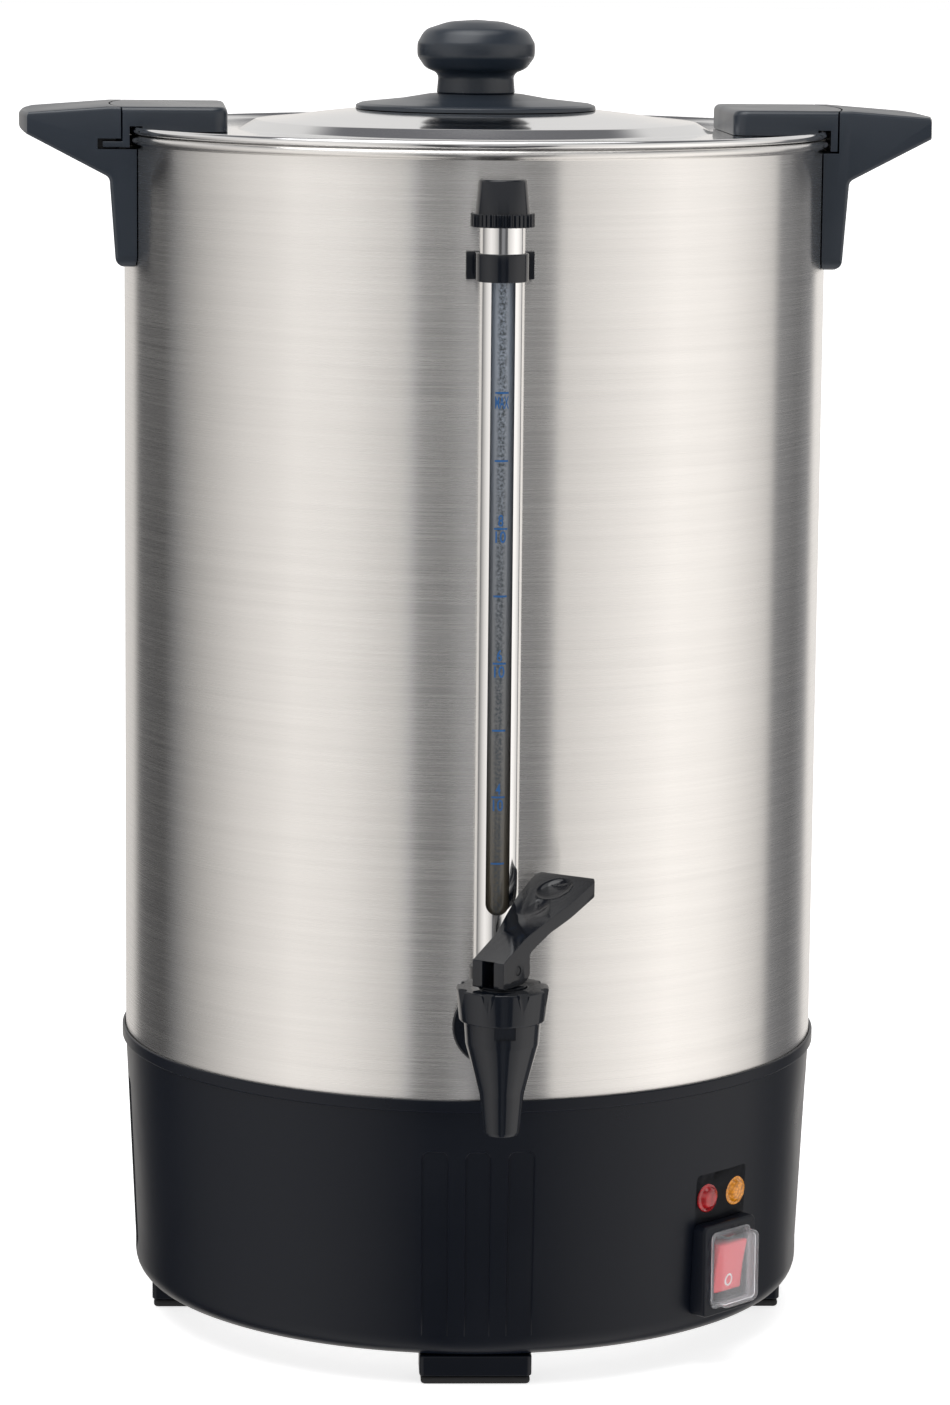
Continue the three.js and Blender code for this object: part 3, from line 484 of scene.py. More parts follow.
red_plastic = moulded("red_rocker", (0.78, 0.02, 0.035), 0.22, depth=0.000005)
side = rounded([(-3, -10.2, 0.5), (2.6, -10.2, 0.8), (3.8, 0, 3), (6, 10.2, 0.8), (-5, 10.2, 0.5),
                (-5, 0, 0)])
rocker = moved(raised(side, -8, 8, 0.5), spun(90, "Y"), spun(90, "X"), Matrix.Diagonal((-1, 1, 1, 1)))
rocker = combined(rocker, moved(rod(1.3, -9.2, 9.2, 24), spun(90, "Y")), "UNION")
piece("red_rocker", moved(rocker, shifted(0, ROCKER_OUT, SWITCH_Z)), red_plastic, "rocker",
      ["switch_rocker"], PANEL_TURN)
white_ink = moulded("white_ink", (0.8, 0.8, 0.78), 0.5, depth=0.000005)
ring = turned([(1.5, -0.25), (2.1, -0.25), (2.1, 0.12), (1.5, 0.12)], 40)
ring = moved(ring, Matrix.Diagonal((1, 1.25, 1, 1)), spun(-90, "X"), spun(-6.7, "X"))
ring = moved(ring, shifted(0, ROCKER_OUT + 3.15, SWITCH_Z - 5.6))
piece("off_mark", ring, white_ink, "rocker", (), PANEL_TURN)

clear_silicone = clear_plastic("clear_silicone", (0.96, 0.96, 0.98), 0.14, clear=0.88, bend=1.12)
boot = facing_out(rectangle(-10.8, 10.8, -14.5, 14.5, 3.2), FACE_OUT + 0.3, FACE_OUT + 6.5, 1.3)
flange = facing_out(rectangle(-11.7, 11.7, -15.4, 15.4, 2.5), FACE_OUT + 0.3, FACE_OUT + 0.9, 0.2)
boot = combined(boot, flange, "UNION")
boot = combined(boot, facing_out(rectangle(-9.7, 9.7, -13.4, 13.4, 2.2), FACE_OUT - 3, FACE_OUT + 5.5, 1.2))
piece("splash_boot", boot, clear_silicone, "urn", ["switch_boot"], PANEL_TURN)

# ---- Tank -----------------------------------------------------------------------------------
# A drawn and seam-welded tank of stainless steel, 1 mm thick, brushed round and round outside,
# with its floor let up into the skirt and its rim rolled outwards into a bead.
TANK_R = 140.75
TANK_IN = 139.75
RIM = (tank_high.z / MM) - 3.4
FLOOR = 135
BEAD_R = 1.7


def brushing():
    """Lines left by a belt run round a turned piece: long round the axis, short along it."""
    group, given, out = effect("brushing", {"Lines per metre": 2600.0, "Breaks per metre": 12.0},
                               ("Lines", "Drift"))
    place = node(group, "ShaderNodeTexCoord").outputs["Object"]
    scale = node(group, "ShaderNodeCombineXYZ", {"X": given.outputs[1], "Y": given.outputs[1],
                                                 "Z": given.outputs[0]})
    stretched = node(group, "ShaderNodeVectorMath", {0: place, 1: scale.outputs[0]}, operation="MULTIPLY")
    lines = node(group, "ShaderNodeTexNoise", {"Vector": stretched.outputs[0], "Scale": 1.0, "Detail": 6.0,
                                               "Roughness": 0.65})
    coarse = node(group, "ShaderNodeVectorMath", {0: stretched.outputs[0], 1: (0.5, 0.5, 0.09)},
                  operation="MULTIPLY")
    drift = node(group, "ShaderNodeTexNoise", {"Vector": coarse.outputs[0], "Scale": 1.0, "Detail": 3.0})
    group.links.new(lines.outputs["Fac"], out.inputs["Lines"])
    group.links.new(drift.outputs["Fac"], out.inputs["Drift"])
    return group


BRUSHING = brushing()


def brushed_steel(name, colour, roughness, anisotropy, lines, contrast, depth):
    """Stainless steel with its brushing in the colour, the gloss and the surface."""
    material, tree, shader = shaded(name, {"Metallic": 1.0, "Anisotropic": anisotropy,
                                           "Anisotropic Rotation": 0.25})
    marks = node(tree, "ShaderNodeGroup", {"Lines per metre": lines}, node_tree=BRUSHING).outputs
    both = node(tree, "ShaderNodeMath", {0: marks["Lines"], 1: marks["Drift"]}, operation="MULTIPLY")
    shade = ranged(tree, both.outputs[0], 1 - contrast, 1 + contrast * 0.6, 0.12, 0.42)
    tint = node(tree, "ShaderNodeVectorMath", {0: colour, 1: shade.outputs[0]}, operation="MULTIPLY")
    gloss = ranged(tree, marks["Lines"], roughness - 0.05, roughness + 0.05, 0.3, 0.7)
    wired(tree, shader, tint, gloss, marks["Lines"], 0.4, depth)
    tangent = node(tree, "ShaderNodeTangent", direction_type="RADIAL", axis="Z")
    tree.links.new(tangent.outputs["Tangent"], shader.inputs["Tangent"])
    return material


tank_steel = brushed_steel("tank_steel", (0.86, 0.845, 0.825), 0.25, 1.0, 4800.0, 0.045, 0.0000008)
bead = [(TANK_IN + BEAD_R - BEAD_R * math.cos(a), RIM + BEAD_R + BEAD_R * math.sin(a))
        for a in [math.radians(15 * k) for k in range(19)]]
shell = [(0, FLOOR), (TANK_IN - 12, FLOOR), (TANK_IN - 6, FLOOR + 0.7), (TANK_IN - 2, FLOOR + 3),
         (TANK_IN, FLOOR + 8), *bead, (TANK_R + 0.25, RIM), (TANK_R, RIM - 0.4), (TANK_R, 114),
         (TANK_IN, 114), (TANK_IN, FLOOR - 4), (TANK_IN - 5, FLOOR - 1), (0, FLOOR - 1)]
wall = combined(turned(shell, 256), moved(rod(8.3, 130, 150), spun(90, "X"), shifted(0, 0, 147.5)))
piece("brushed_tank", wall, tank_steel, "urn", ["tank_shell"])

# ---- Heater ---------------------------------------------------------------------------------
# Under the tank's floor: a cast aluminium plate with a sheathed element, and the rod and nut
# that clamp base and tank together.
cast_aluminium = sheet_metal("heater_aluminium", (0.66, 0.66, 0.66), 0.5, 400.0)
heated_sheath = sheet_metal("element_sheath", (0.3, 0.27, 0.23), 0.5, 90.0)
dress(cast_aluminium, "heater_plate")
dress(heated_sheath, "heating_element")
dress(zinc_steel, "tie_rod", "tie_nut", "shank_nut", "clip_screw", "knob_screw")
for where in ("right", "left"):
    dress(zinc_steel, *[f"handle_screw_{where}_{row}" for row in ("upper", "lower")])
    dress(zinc_steel, *[f"ear_screw_{where}_{end}" for end in ("front", "back")])

# ---- Handles --------------------------------------------------------------------------------
# Two phenolic handles screwed to the tank from inside. Each has a wing for the hand, a leg down
# the wall, and a groove under its inner end that the lid's hook turns into.
GRIP_HALF = 38.5
GROOVE_LOW = -1.9
GROOVE_TOP = 2.3
HOOK_IN = 30.2
WING_R = 182.6
LEG_LOW = -48.2
handle_plastic = moulded("handle_plastic", (0.013, 0.02, 0.031), 0.33, grain=1500.0, depth=0.00001,
                         specular=0.6)
wing = rounded([(130, 14.7, 0), (130, LEG_LOW, 0), (143.9, LEG_LOW, 4), (146.4, -13, 3), (182.8, 5.9, 3),
                (182.8, 12, 2.4), (147, 14.7, 1.2)])
for where, turn in (("right", 0), ("left", 180)):
    grip = moved(raised(wing, -GRIP_HALF, GRIP_HALF, 1.6), spun(90, "X"))
    corner = rectangle(-40, -LEG_LOW, -GRIP_HALF, GRIP_HALF, 5)
    grip = combined(grip, moved(raised(corner, 100, WING_R + 1), spun(90, "Y")), "INTERSECT")
    edge = rounded([(0, -70, 0), (WING_R, -70, 0), (WING_R, 0, 0), (WING_R, 13, 3), (150, 16, 0), (0, 16, 0)],
                   closed=False)
    grip = combined(grip, turned(edge, 256), "INTERSECT")
    inner = turned([(0, -70), (TANK_R + 0.3, -70), (TANK_R + 0.3, GROOVE_LOW), (147, GROOVE_LOW), (147, 30),
                    (0, 30)], 256)
    groove = raised(rectangle(139, 151, HOOK_IN, 50), GROOVE_LOW, GROOVE_TOP)
    grip = combined(combined(grip, inner), groove)
    piece(f"wing_handle_{where}", moved(grip, shifted(0, 0, RIM)), handle_plastic, "urn",
          [f"handle_{where}"], turn)

# ---- Sight gauge ----------------------------------------------------------------------------
# A glass tube standing in the tap's shank, seen through the slot of a bright steel guard tube.
# A saddle holds the guard off the wall, and a knurled cap closes its top. The level marks are
# printed on the glass in blue.
GAUGE_OUT = -(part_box("sight_glass")[0].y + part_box("sight_glass")[1].y) / 2 / MM + AXIS.y / MM
GUARD_R = 8.5
GUARD_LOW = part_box("gauge_guard")[0].z / MM
GUARD_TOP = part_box("gauge_guard")[1].z / MM
SLOT_HALF = 4.5
SLOT_LOW = RIM - 283.5
SLOT_TOP = RIM - 40
CLIP = (RIM - 44.5, RIM - 34)
SHANK_Z = 147.5
TENTH = 25.5
MAX_LEVEL = RIM - 85.6
PRINT_R = 5.57
at_gauge = shifted(0, -GAUGE_OUT, 0)

gloss_black = moulded("tap_plastic", (0.005, 0.0065, 0.01), 0.08, grain=240.0, depth=0.000006, spread=0.05,
                      specular=0.42)
out_of_tank = spun(90, "X")
stem = turned([(8, 121), (8, 143.4), *rounded([(15.7, 143.4, 0.4), (15.7, 146.4, 0.4), (14.6, 147.4, 0.6)]),
               (10.4, 147.4), (10.4, 164), (6.4, 164), (6.4, 173), (4.6, 173), (4.6, 121)], 72)
socket = turned([(0, 141), (8, 141), (10, 147), (10, GUARD_LOW - 0.8), (9.6, GUARD_LOW - 0.3),
                 (0, GUARD_LOW - 0.3)], 72)
well = turned([(0, SHANK_Z), (4.2, SHANK_Z), (4.2, 158), (5.8, 158), (5.8, 166), (7.7, 166), (7.7, 180),
               (0, 180)], 72)
shank = combined(moved(stem, out_of_tank, shifted(0, 0, SHANK_Z)), moved(socket, at_gauge), "UNION")
bore = moved(rod(4.6, 119, 180), out_of_tank, shifted(0, 0, SHANK_Z))
shank = combined(combined(shank, moved(well, at_gauge)), bore)
piece("tap_shank", shank, gloss_black, "urn", ["gauge_shank"])
dress(foot_rubber, "shank_gasket", "gauge_seal")

gauge_glass = clear_plastic("gauge_glass", (0.93, 0.96, 0.97), 0.03)


def glass_with_painted_shade(material):
    """Tints the glass bluish above and darker brownish below, with painted shade in a speckled dark line down
    the middle.
    """
    tree = material.node_tree
    shader = tree.nodes["Principled BSDF"]
    shader.inputs["Transmission Weight"].default_value = 0.3
    shader.inputs["Coat Weight"].default_value = 0.5
    place = node(tree, "ShaderNodeTexCoord").outputs["Object"]
    where = node(tree, "ShaderNodeSeparateXYZ", {0: place})
    level = ranged(tree, where.outputs["Z"], 0.0, 1.0, 0.21, 0.4)
    grains = node(tree, "ShaderNodeTexNoise", {"Vector": place, "Scale": 900.0, "Detail": 4.0})
    # Painted shade: a speckled dark line down the middle of the glass, from the mask of the middle times the
    # grains.
    aside = node(tree, "ShaderNodeMath", {0: where.outputs["X"]}, operation="ABSOLUTE")
    middle = ranged(tree, aside.outputs[0], 1.0, 0.0, 0.0009, 0.0023)
    speck = ranged(tree, grains.outputs["Fac"], 0.0, 1.0, 0.35, 0.62)
    dark = node(tree, "ShaderNodeMath", {0: middle.outputs[0], 1: speck.outputs[0]}, operation="MULTIPLY")
    level_tint = node(tree, "ShaderNodeMixRGB", {"Fac": level.outputs[0], "Color1": (0.13, 0.115, 0.09, 1),
                                            "Color2": (0.3, 0.34, 0.4, 1)})
    tint = node(tree, "ShaderNodeMixRGB", {"Fac": dark.outputs[0], "Color1": level_tint.outputs[0],
                                           "Color2": (0.08, 0.09, 0.1, 1)})
    tree.links.new(tint.outputs["Color"], shader.inputs["Base Color"])


glass_with_painted_shade(gauge_glass)
glass = turned(rounded([(4, 158.3, 0), (5.5, 158.3, 0.3), (5.5, RIM - 14, 0.3), (4, RIM - 14, 0)]), 64)
piece("glass_tube", moved(glass, at_gauge), gauge_glass, "urn", ["sight_glass"])


def polished_steel(name, colour, roughness):
    """Mirror-polished steel, with the buffing's faint haze and a few soft smears."""
    material, tree, shader = shaded(name, {"Metallic": 1.0})
    marks = node(tree, "ShaderNodeGroup", {"Lines per metre": 900.0}, node_tree=BRUSHING).outputs
    gloss = ranged(tree, marks["Drift"], roughness * 0.5, roughness * 1.6)
    wired(tree, shader, tinted(tree, marks["Drift"], colour, 0.96), gloss, marks["Lines"], 0.08, 0.000005)
    return material


mirror_steel = polished_steel("polished_steel", (0.87, 0.87, 0.87), 0.09)
guard = turned(rounded([(GUARD_R - 1, GUARD_LOW, 0.2), (GUARD_R, GUARD_LOW, 0.3), (GUARD_R, GUARD_TOP, 0.3),
                        (GUARD_R - 1, GUARD_TOP, 0.2)]), 96)
slot = rectangle(-SLOT_HALF, SLOT_HALF, SLOT_LOW, SLOT_TOP, SLOT_HALF - 0.01)
slot = moved(raised(slot, 0, 20), spun(90, "X"))
piece("slotted_guard", moved(combined(guard, slot), at_gauge), mirror_steel, "urn",
      ["gauge_guard"])


def printed(text, width, height, middle):
    """Letters of that width and height, wrapped round the front of the glass."""
    curve = bpy.data.curves.new("letters", "FONT")
    curve.body = text
    curve.extrude = 0.004
    curve.offset = 0.012
    blank = filled(curve)
    bmesh.ops.triangulate(blank, faces=blank.faces)
    bmesh.ops.remove_doubles(blank, verts=blank.verts, dist=1e-5)
    xs = [v.co.x for v in blank.verts]
    ys = [v.co.y for v in blank.verts]
    for vert in blank.verts:
        x = ((vert.co.x - min(xs)) / (max(xs) - min(xs)) - 0.5) * width
        z = ((vert.co.y - min(ys)) / (max(ys) - min(ys)) - 0.5) * height
        vert.co = (x, vert.co.z, z + middle)
    for _ in range(2):
        bmesh.ops.subdivide_edges(blank, edges=[e for e in blank.edges if e.calc_length() > 0.4], cuts=1)
        bmesh.ops.triangulate(blank, faces=blank.faces)
    return blank


def gathered(blanks):
    """Many blanks in one, as they stand."""
    whole = bmesh.new()
    for blank in blanks:
        mesh = bpy.data.meshes.new("blank")
        blank.to_mesh(mesh)
        blank.free()
        whole.from_mesh(mesh)
        bpy.data.meshes.remove(mesh)
    return whole


def dash(middle):
    """A level line as wide as the glass lets it be seen."""
    blank = raised(rectangle(-2.6, 2.6, -0.35, 0.35), -0.004, 0.004)
    blank = moved(blank, spun(90, "X"), shifted(0, 0, middle))
    bmesh.ops.subdivide_edges(blank, edges=[e for e in blank.edges if e.calc_length() > 4], cuts=8,
                              use_grid_fill=True)
    return blank


prints = [dash(MAX_LEVEL - TENTH * k) for k in range(8)] + [printed("MAX", 5.3, 4.6, MAX_LEVEL - 3.6)]
for k, tenths in ((2, "8"), (4, "6"), (6, "4")):
    prints.append(printed(tenths, 1.9, 4.4, MAX_LEVEL - TENTH * k + 3.1))
    prints.append(printed("10", 4.0, 4.4, MAX_LEVEL - TENTH * k - 3.1))
marks = gathered(prints)
for vert in marks.verts:
    out = PRINT_R + vert.co.y
    bearing = vert.co.x / PRINT_R
    vert.co = (out * math.sin(bearing), -out * math.cos(bearing), vert.co.z)
blue_ink = moulded("blue_ink", (0.002, 0.085, 0.27), 0.4, depth=0.000003)
piece("level_marks", moved(marks, at_gauge), blue_ink, "urn")

CAP_TOP = RIM - 6.6
COLLAR = (RIM - 24.2, RIM - 19.2)
teeth = [Vector(((12 - 0.8 * (k // 2 % 2)) * math.cos(math.tau * k / 144),
                 (12 - 0.8 * (k // 2 % 2)) * math.sin(math.tau * k / 144))) for k in range(144)]
cone = turned(rounded([(0, COLLAR[0] + 1, 0), (10.2, COLLAR[0] + 1, 0), (10.2, COLLAR[1], 0),
                       (9.0, CAP_TOP, 1), (0, CAP_TOP, 0)], closed=False), 72)
cap = combined(raised(teeth, *COLLAR, 0.25), cone, "UNION")
hollow = turned([(0, RIM - 30), (GUARD_R + 0.3, RIM - 30), (GUARD_R + 0.3, GUARD_TOP + 0.3),
                 (5.8, GUARD_TOP + 0.3), (5.8, RIM - 12), (0, RIM - 12)], 72)
piece("knurled_cap", moved(combined(cap, hollow), at_gauge), gloss_black, "urn",
      ["gauge_cap"])

to_wall = GAUGE_OUT - TANK_R - 0.3
loop = [math.tau * k / 72 for k in range(72)]
band = raised([Vector((9.9 * math.cos(a), 9.9 * math.sin(a))) for a in loop], *CLIP, 0.4)
web = raised(rectangle(-9.7, 9.7, 0, to_wall), CLIP[0] + 0.2, CLIP[1] - 0.2)
foot = raised(rectangle(-12.8, 12.8, to_wall - 3, to_wall + 1), *CLIP, 0.4)
saddle = combined(combined(band, web, "UNION"), foot, "UNION")
saddle = combined(saddle, rod(GUARD_R + 0.3, 0, 600, 72))
saddle = combined(saddle, moved(rod(TANK_R + 0.3, 0, 600, 256), shifted(0, GAUGE_OUT, 0)))
piece("guard_saddle", moved(saddle, at_gauge), gloss_black, "urn", ["gauge_clip"])

# ---- Tap ------------------------------------------------------------------------------------
# A self-closing tap in glossy black plastic: a tapering body with its spout, a grip nut with
# V-shaped notches, and a lever that straddles the stem on a pin. The lever has a shallow dish
# and an oval dimple for the thumb.
TAP_OUT = 193
BONNET = tuple(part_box("tap_bonnet")[k].z / MM for k in (0, 1))
PIN_Z = 180.1
YOKE_LOW = 174.4
LEVER_TURN = -36
SPOUT_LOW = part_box("tap_body")[0].z / MM
at_tap = shifted(0, -TAP_OUT, 0)

outside = rounded([(0, SPOUT_LOW, 0), (6.4, SPOUT_LOW, 0.4), (6.9, SPOUT_LOW + 1.2, 1), (8.3, 132.5, 14),
                   (13.8, 152, 3), (14.4, BONNET[0] - 0.3, 0), (12.6, BONNET[0] - 0.3, 0), (12.6, 168, 0.3),
                   (0, 168, 0)], closed=False)
body = combined(turned(outside, 96), moved(rod(8.8, 0, TAP_OUT - 164.3, 72), spun(-90, "X"),
                                           shifted(0, 0, SHANK_Z)), "UNION")
passage = turned([(0, 110), (5.3, 110), (5.2, 141), (9.2, 141), (9.2, 170), (0, 170)], 64)
inlet = combined(moved(rod(6.7, TAP_OUT - 173.3, 40), spun(-90, "X")),
                 moved(rod(4.6, 5, 40), spun(-90, "X")), "UNION")
notch = raised(rectangle(-4, 4, -15, -13.2), BONNET[0] - 5.1, BONNET[0] + 2)
body = combined(combined(body, passage), moved(inlet, shifted(0, 0, SHANK_Z)))
piece("tap_moulding", moved(combined(body, notch), at_tap), gloss_black, "urn", ["tap_body"])

nut = turned(rounded([(12.9, BONNET[0], 0), (16.2, BONNET[0], 0.8), (17.4, BONNET[1] - 0.6, 0),
                      (17.1, BONNET[1], 0.5), (9.3, BONNET[1], 0.3), (9.3, 172, 0), (4.4, 172, 0),
                      (4.4, 170.5, 0), (12.9, 168.3, 0)]), 128)
for k in range(8):
    vee = turned([(0, BONNET[0] + 1.8), (2.9, BONNET[1] + 0.3), (0, BONNET[1] + 0.3)], 24)
    nut = combined(nut, moved(vee, shifted(17.9, 0, 0), spun(22.5 + 45 * k)))
piece("grip_nut", moved(nut, at_tap), gloss_black, "urn", ["tap_bonnet"])
dress(gloss_black, "tap_stem", "lever_pin")
dress(gloss_black, "stem_washer")
dress(clear_silicone, "seat_cup")

side = rounded([(-10.5, YOKE_LOW, 0.6), (3.5, YOKE_LOW, 3), (7.6, YOKE_LOW + 2, 4), (7.4, YOKE_LOW + 11, 2.5),
                (18, YOKE_LOW + 17.2, 6), (46, YOKE_LOW + 28, 0.8), (48.2, YOKE_LOW + 31, 0.8),
                (46.4, YOKE_LOW + 33.9, 0.8), (28.6, YOKE_LOW + 26.9, 12), (18, YOKE_LOW + 22.7, 20),
                (-10.5, YOKE_LOW + 10.2, 0.5)])
plan = rounded([(6.8, -20, 0), (6.8, 5, 12), (7.7, 10, 16), (12, 29, 30), (13.3, 44, 2), (9.4, 49, 2.4),
                (-9.4, 49, 2.4), (-13.3, 44, 2), (-12, 29, 30), (-7.7, 10, 16), (-6.8, 5, 12),
                (-6.8, -20, 0)])
slab = moved(raised(side, -14, 14), spun(90, "X"), spun(90, "Z"))
lever = combined(slab, raised(plan, YOKE_LOW - 5, YOKE_LOW + 60), "INTERSECT")
bmesh.ops.remove_doubles(lever, verts=lever.verts, dist=0.01)
bmesh.ops.dissolve_limit(lever, angle_limit=math.radians(1), verts=lever.verts, edges=lever.edges)
edges = [e for e in lever.edges if len(e.link_faces) == 2 and e.calc_face_angle(0) > math.radians(45)]
bmesh.ops.bevel(lever, geom=edges, offset=0.55, segments=3, profile=0.5, affect="EDGES", clamp_overlap=True)
slope = math.degrees(math.atan2(11.2, 28))
for centre, radii in (((0, 36, YOKE_LOW + 31), (7.4, 8.6, 3.2)), ((0, 21, YOKE_LOW + 33.5), (9, 15, 10))):
    dish = bmesh.new()
    bmesh.ops.create_uvsphere(dish, u_segments=96, v_segments=48, radius=1)
    dish = moved(dish, Matrix.Diagonal((*radii, 1)), spun(slope, "X"), shifted(*centre))
    lever = combined(lever, dish)
cheeks = raised(rectangle(-2.6, 2.6, -20, 5.6), YOKE_LOW - 5, PIN_Z + 4.6)
lever = combined(combined(lever, cheeks), moved(rod(1.8, -10, 10, 32), spun(90, "Y"), shifted(0, 0, PIN_Z)))
piece("tap_handle", moved(lever, spun(LEVER_TURN), at_tap), gloss_black, "lever",
      ["tap_lever"], sharp=35)

# ---- Percolator -----------------------------------------------------------------------------
# What stands in the tank for brewing: a bell-footed pump tube, the basket that slides over it
# with its perforated floor, and the perforated spreader that covers the basket. All of it is
# thin stainless steel.
inner_steel = brushed_steel("inner_steel", (0.74, 0.73, 0.71), 0.28, 0.3, 1500.0, 0.06, 0.00001)
tube = rounded([(30, FLOOR + 0.3, 0), (30, FLOOR + 2.5, 1), (9, FLOOR + 11, 3), (6, FLOOR + 15, 3),
                (6, 326, 0.4), (9, 327.5, 0.4), (9, 329, 0.3), (6, 329, 0), (6, 452, 0.3), (5, 452, 0),
                (5, FLOOR + 15, 3),
                (7.5, FLOOR + 10, 3), (28.5, FLOOR + 1.6, 0.5), (28.5, FLOOR + 0.3, 0)])
piece("bell_tube", turned(tube, 72), inner_steel, "urn", ["pump_tube"])


def perforated(sheet, rings, low, high):
    """The sheet with rings of small round holes, given as (radius, how many)."""
    punches = [moved(rod(1.6, low, high, 10), shifted(radius, 0, 0), spun(360 * k / count))
               for radius, count in rings for k in range(count)]
    return combined(sheet, gathered(punches))


basket = rounded([(6.4, 329.3, 0), (93, 329.3, 3), (96.4, 334, 3), (98, 436, 0.8), (100, 436, 0.3),
                  (100, 437, 0.3), (97, 437, 1.2), (95.3, 334, 2.5), (92, 330.5, 2), (7.4, 330.5, 0.8),
                  (7.4, 440, 0.2), (6.4, 440, 0.2)])
basket = perforated(turned(basket, 128), [(16 + 11 * k, 8 + 6 * k) for k in range(7)], 326, 333)
piece("coffee_strainer", basket, inner_steel, "urn", ["coffee_basket"])
spreader = rounded([(8.2, 441, 0.2), (80, 441, 2), (84, 437.4, 2), (101, 437.4, 0.3), (101, 438.4, 0.3),
                    (84.6, 438.4, 2), (80.6, 442, 2), (8.2, 442, 0.2)])
spreader = perforated(turned(spreader, 128), [(20 + 12 * k, 6 + 4 * k) for k in range(5)], 439, 444)
piece("basket_spreader", spreader, inner_steel, "urn", ["basket_lid"])

# ---- Lid ------------------------------------------------------------------------------------
# A pressed lid in mirror-polished stainless steel: a low dome with a rounded step, a flat rim
# with a rolled edge that lies on the tank's bead, and a skirt that plugs the tank.
LID_FLAT = RIM + 4.7
LID_BEAD = 1.5
DOME_STEP_R = 88.5
edge_x = TANK_IN + BEAD_R - 0.2
edge = [(edge_x + LID_BEAD * math.cos(math.radians(a)), LID_FLAT + 0.5 + LID_BEAD * math.sin(math.radians(a)))
        for a in range(150, -91, -12)]


def dome(radius):
    """Height of the dome over the rim: rounded in the middle, then a straight cone."""
    return RIM + min(15.4 - 2.4 * (radius / 50) ** 2, 9.9 + (78 - radius) * 0.113)


crown = [(r, dome(r)) for r in [0, *range(4, 80, 4)]]
step = [(p.x, p.y) for p in rounded([(78, RIM + 9.9, 0), (DOME_STEP_R, RIM + 8.7, 3), (95, RIM + 4.9, 5),
                                     (120, LID_FLAT, 0)], closed=False)][1:]
under = [(edge_x - 1.5, LID_FLAT - 0.6), (138.6, LID_FLAT - 1), (138.6, RIM - 7), (137.6, RIM - 7),
         (137.6, LID_FLAT - 1)]
below = [(max(x - 0.3, 0), z - 1) for x, z in reversed(crown + step[:-1])]
lid = turned([*crown, *step, (edge_x - 1.9, LID_FLAT), *edge, *under, *below], 256)
piece("polished_lid", lid, mirror_steel, "lid", ["lid"])

# ---- Lid ears -------------------------------------------------------------------------------
# Phenolic blocks screwed to the lid on each side. Each overhangs the rim and turns under the
# handle's roof by a short hook, which locks the lid down.
EAR_TOP = RIM + 14.7
EAR_R = 146.3
HOOK = (RIM - 1.1, RIM + 1.2)
half_turn = math.asin(GRIP_HALF / (EAR_R + 2))
arc = [((EAR_R + 2) * math.cos(half_turn * k / 24), (EAR_R + 2) * math.sin(half_turn * k / 24), 0)
       for k in range(-24, 25)]
ear_plan = rounded([(100, -GRIP_HALF, 6), *arc, (100, GRIP_HALF, 6)])
for where, turn in (("right", 0), ("left", 180)):
    ear = combined(raised(ear_plan, RIM - 6, EAR_TOP, 2.4), rod(EAR_R, HOOK[0], RIM + 30, 256), "INTERSECT")
    ear = combined(ear, raised(rectangle(139, 149, HOOK_IN + 0.8, GRIP_HALF - 0.2), *HOOK, 0.3), "UNION")
    clear = turned([(0, RIM - 20), (143.7, RIM - 20), (143.7, LID_FLAT + 2.4), (138.8, LID_FLAT + 2.4),
                    (138.8, LID_FLAT + 0.3), (0, LID_FLAT + 0.3)], 256)
    piece(f"ear_block_{where}", combined(ear, clear), handle_plastic, "lid",
          [f"lid_ear_{where}"], turn)

# ---- Knob -----------------------------------------------------------------------------------
# A turned phenolic knob and the wide disc under it, held through the lid by one screw.
disc = [(2.6, dome(0) + 0.3), (48, dome(48) + 0.3)]
disc += [(p.x, p.y) for p in rounded([(48.2, RIM + 13.4, 0.3), (48, RIM + 14.9, 0.6), (46, RIM + 15.7, 1.5),
                                      (30, RIM + 17.4, 20), (19, RIM + 19.3, 5), (15.9, RIM + 19.5, 0)],
                                     closed=False)]
piece("knob_disc", turned([*disc, (2.6, RIM + 19.3)], 128), handle_plastic, "knob",
      ["knob_base"])
knob = rounded([(0, RIM + 19.6, 0), (15.7, RIM + 19.6, 0.6), (15.0, RIM + 27.4, 3), (20.4, RIM + 29.6, 6),
                (23.5, RIM + 34.2, 3.5), (23.62, RIM + 37.0, 0.15), (23.5, RIM + 39.6, 3),
                (20.6, RIM + 44.8, 6), (11, RIM + 48.0, 16), (0, RIM + 48.8, 0)], closed=False)
piece("turned_knob", turned(knob, 96), handle_plastic, "knob", ["lid_knob"])

# ---- Studio ---------------------------------------------------------------------------------
# A pale floor, and soft light from two tall boxes either side of the camera with a darker gap
# between them and behind them, in front of a bright backdrop. The light is the world's.
scene = bpy.context.scene
floor_mesh = bmesh.new()
bmesh.ops.create_grid(floor_mesh, x_segments=4, y_segments=4, size=30)
mesh = bpy.data.meshes.new("floor")
floor_mesh.to_mesh(mesh)
floor_mesh.free()
floor = bpy.data.objects.new("floor", mesh)
scene.collection.objects.link(floor)
floor.location.z = cad_box[0].z
floor.visible_glossy = False
pale = shaded("pale_floor", {"Base Color": (0.9, 0.9, 0.9, 1), "Roughness": 0.8, "Specular IOR Level": 0.0,
                             "Emission Color": (1, 1, 1, 1), "Emission Strength": 0.72})[0]
mesh.materials.append(pale)

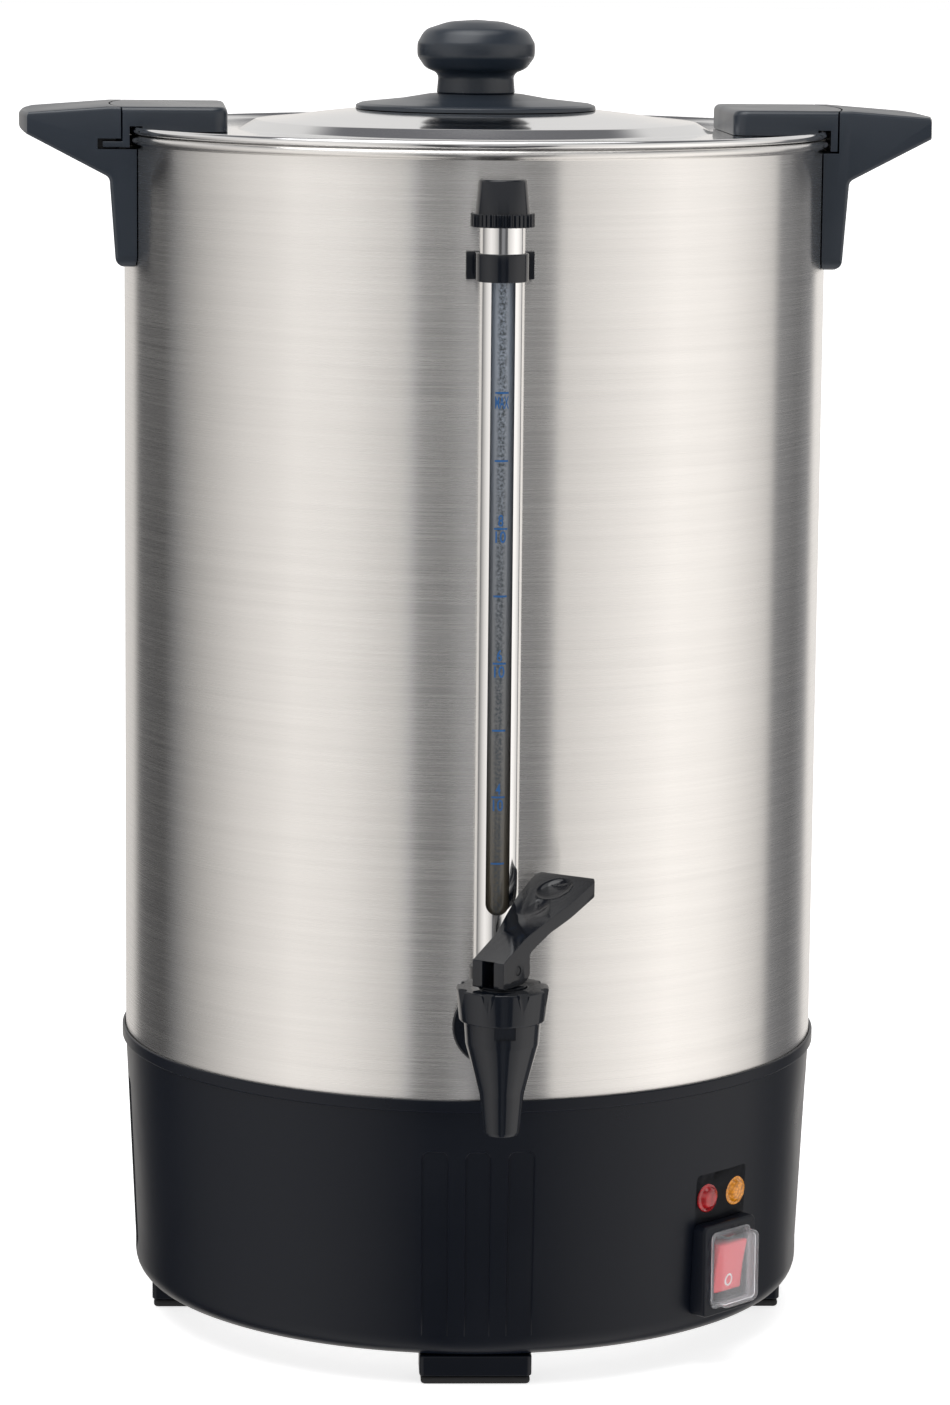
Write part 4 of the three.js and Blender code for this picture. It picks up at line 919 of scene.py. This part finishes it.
# Brightness of the surroundings by bearing: 0 is towards the front of the urn, plus to its right
BOXES = ((-180, 0.72), (-154, 0.66), (-147, 0.08), (-125, 0.03), (-119, 0.15), (-104, 0.45), (-84, 0.8),
         (-64, 1.02), (-46, 0.88), (-27, 0.55), (-23.5, 0.36), (-21, 0.09), (-12, 0.06), (-4, 0.27),
         (6, 0.25), (13, 0.11), (19, 0.1), (22.5, 0.2), (24, 0.7), (40, 0.93), (66, 1.25), (84, 1.15),
         (111, 0.7), (115, 0.2), (130, 0.11), (142, 0.22), (150, 0.85))
world = bpy.data.worlds.new("studio")
scene.world = world
world.use_nodes = True
sky = world.node_tree
background = sky.nodes["Background"]
way = node(sky, "ShaderNodeSeparateXYZ", {0: node(sky, "ShaderNodeTexCoord").outputs["Generated"]})
front = node(sky, "ShaderNodeMath", {0: way.outputs["Y"], 1: -1.0}, operation="MULTIPLY")
bearing = node(sky, "ShaderNodeMath", {0: way.outputs["X"], 1: front.outputs[0]}, operation="ARCTAN2")
share = ranged(sky, bearing.outputs[0], 0.0, 1.0, -math.pi, math.pi)
boxes = node(sky, "ShaderNodeValToRGB", {"Fac": share.outputs[0]})
ramp = boxes.color_ramp
while len(ramp.elements) < len(BOXES):
    ramp.elements.new(1.0)
for stop, (degrees, glow) in zip(ramp.elements, BOXES):
    stop.position = degrees / 360 + 0.5
    stop.color = (glow, glow * 0.965, glow * 0.93, 1) if glow > 0.4 else (glow, glow, glow * 1.03, 1)
# Upwards from the boxes: pale walls, a dark band and a bright zenith
light = boxes.outputs["Color"]
for start, end, blend, colour in ((0.03, 0.2, "SMOOTHSTEP", (0.76, 0.75, 0.74, 1)),
                                  (0.56, 0.7, "SMOOTHSTEP", (0.16, 0.16, 0.17, 1)),
                                  (0.87, 0.9, "LINEAR", (1.5, 1.5, 1.5, 1))):
    share = ranged(sky, way.outputs["Z"], 0.0, 1.0, start, end)
    share.interpolation_type = blend
    mixed = node(sky, "ShaderNodeMixRGB", {"Fac": share.outputs[0], "Color1": light, "Color2": colour})
    light = mixed.outputs["Color"]
seen = node(sky, "ShaderNodeLightPath")
view = node(sky, "ShaderNodeMixRGB", {"Fac": seen.outputs["Is Camera Ray"], "Color1": light,
                                      "Color2": (1, 1, 1, 1)})
sky.links.new(view.outputs["Color"], background.inputs["Color"])
background.inputs["Strength"].default_value = 1.0

lamp = bpy.data.lights.new("overhead", "AREA")
lamp.shape = "DISK"
lamp.size = 1.6
lamp.energy = 14
overhead = bpy.data.objects.new("overhead", lamp)
scene.collection.objects.link(overhead)
overhead.location = (AXIS.x - 0.5, AXIS.y - 0.4, 1.9)
overhead.rotation_euler = (AXIS - overhead.location + Vector((0, 0, 0.2))).to_track_quat("-Z", "Y").to_euler()

# The camera looks slightly down at the front from just left of it, through a long lens
EYE = Vector((-0.1335, -1.9271, 0.5657))
PAN = math.radians(-3.957)
PITCH = 0.1597
ROLL = 0.0094
forward = Vector((-math.sin(PAN) * math.cos(PITCH), math.cos(PAN) * math.cos(PITCH), -math.sin(PITCH)))
level = Vector((math.cos(PAN), math.sin(PAN), 0))
up = level.cross(forward)
across = level * math.cos(ROLL) + up * math.sin(ROLL)
upright = up * math.cos(ROLL) - level * math.sin(ROLL)
optics = bpy.data.cameras.new("camera")
optics.lens = 124.5
optics.sensor_width = 36
optics.sensor_fit = "AUTO"
optics.clip_start = 0.05
optics.clip_end = 100
camera = bpy.data.objects.new("camera", optics)
scene.collection.objects.link(camera)
camera.matrix_world = Matrix.Translation(EYE) @ Matrix((across, upright, -forward)).transposed().to_4x4()
scene.camera = camera
scene.view_settings.view_transform = "Standard"
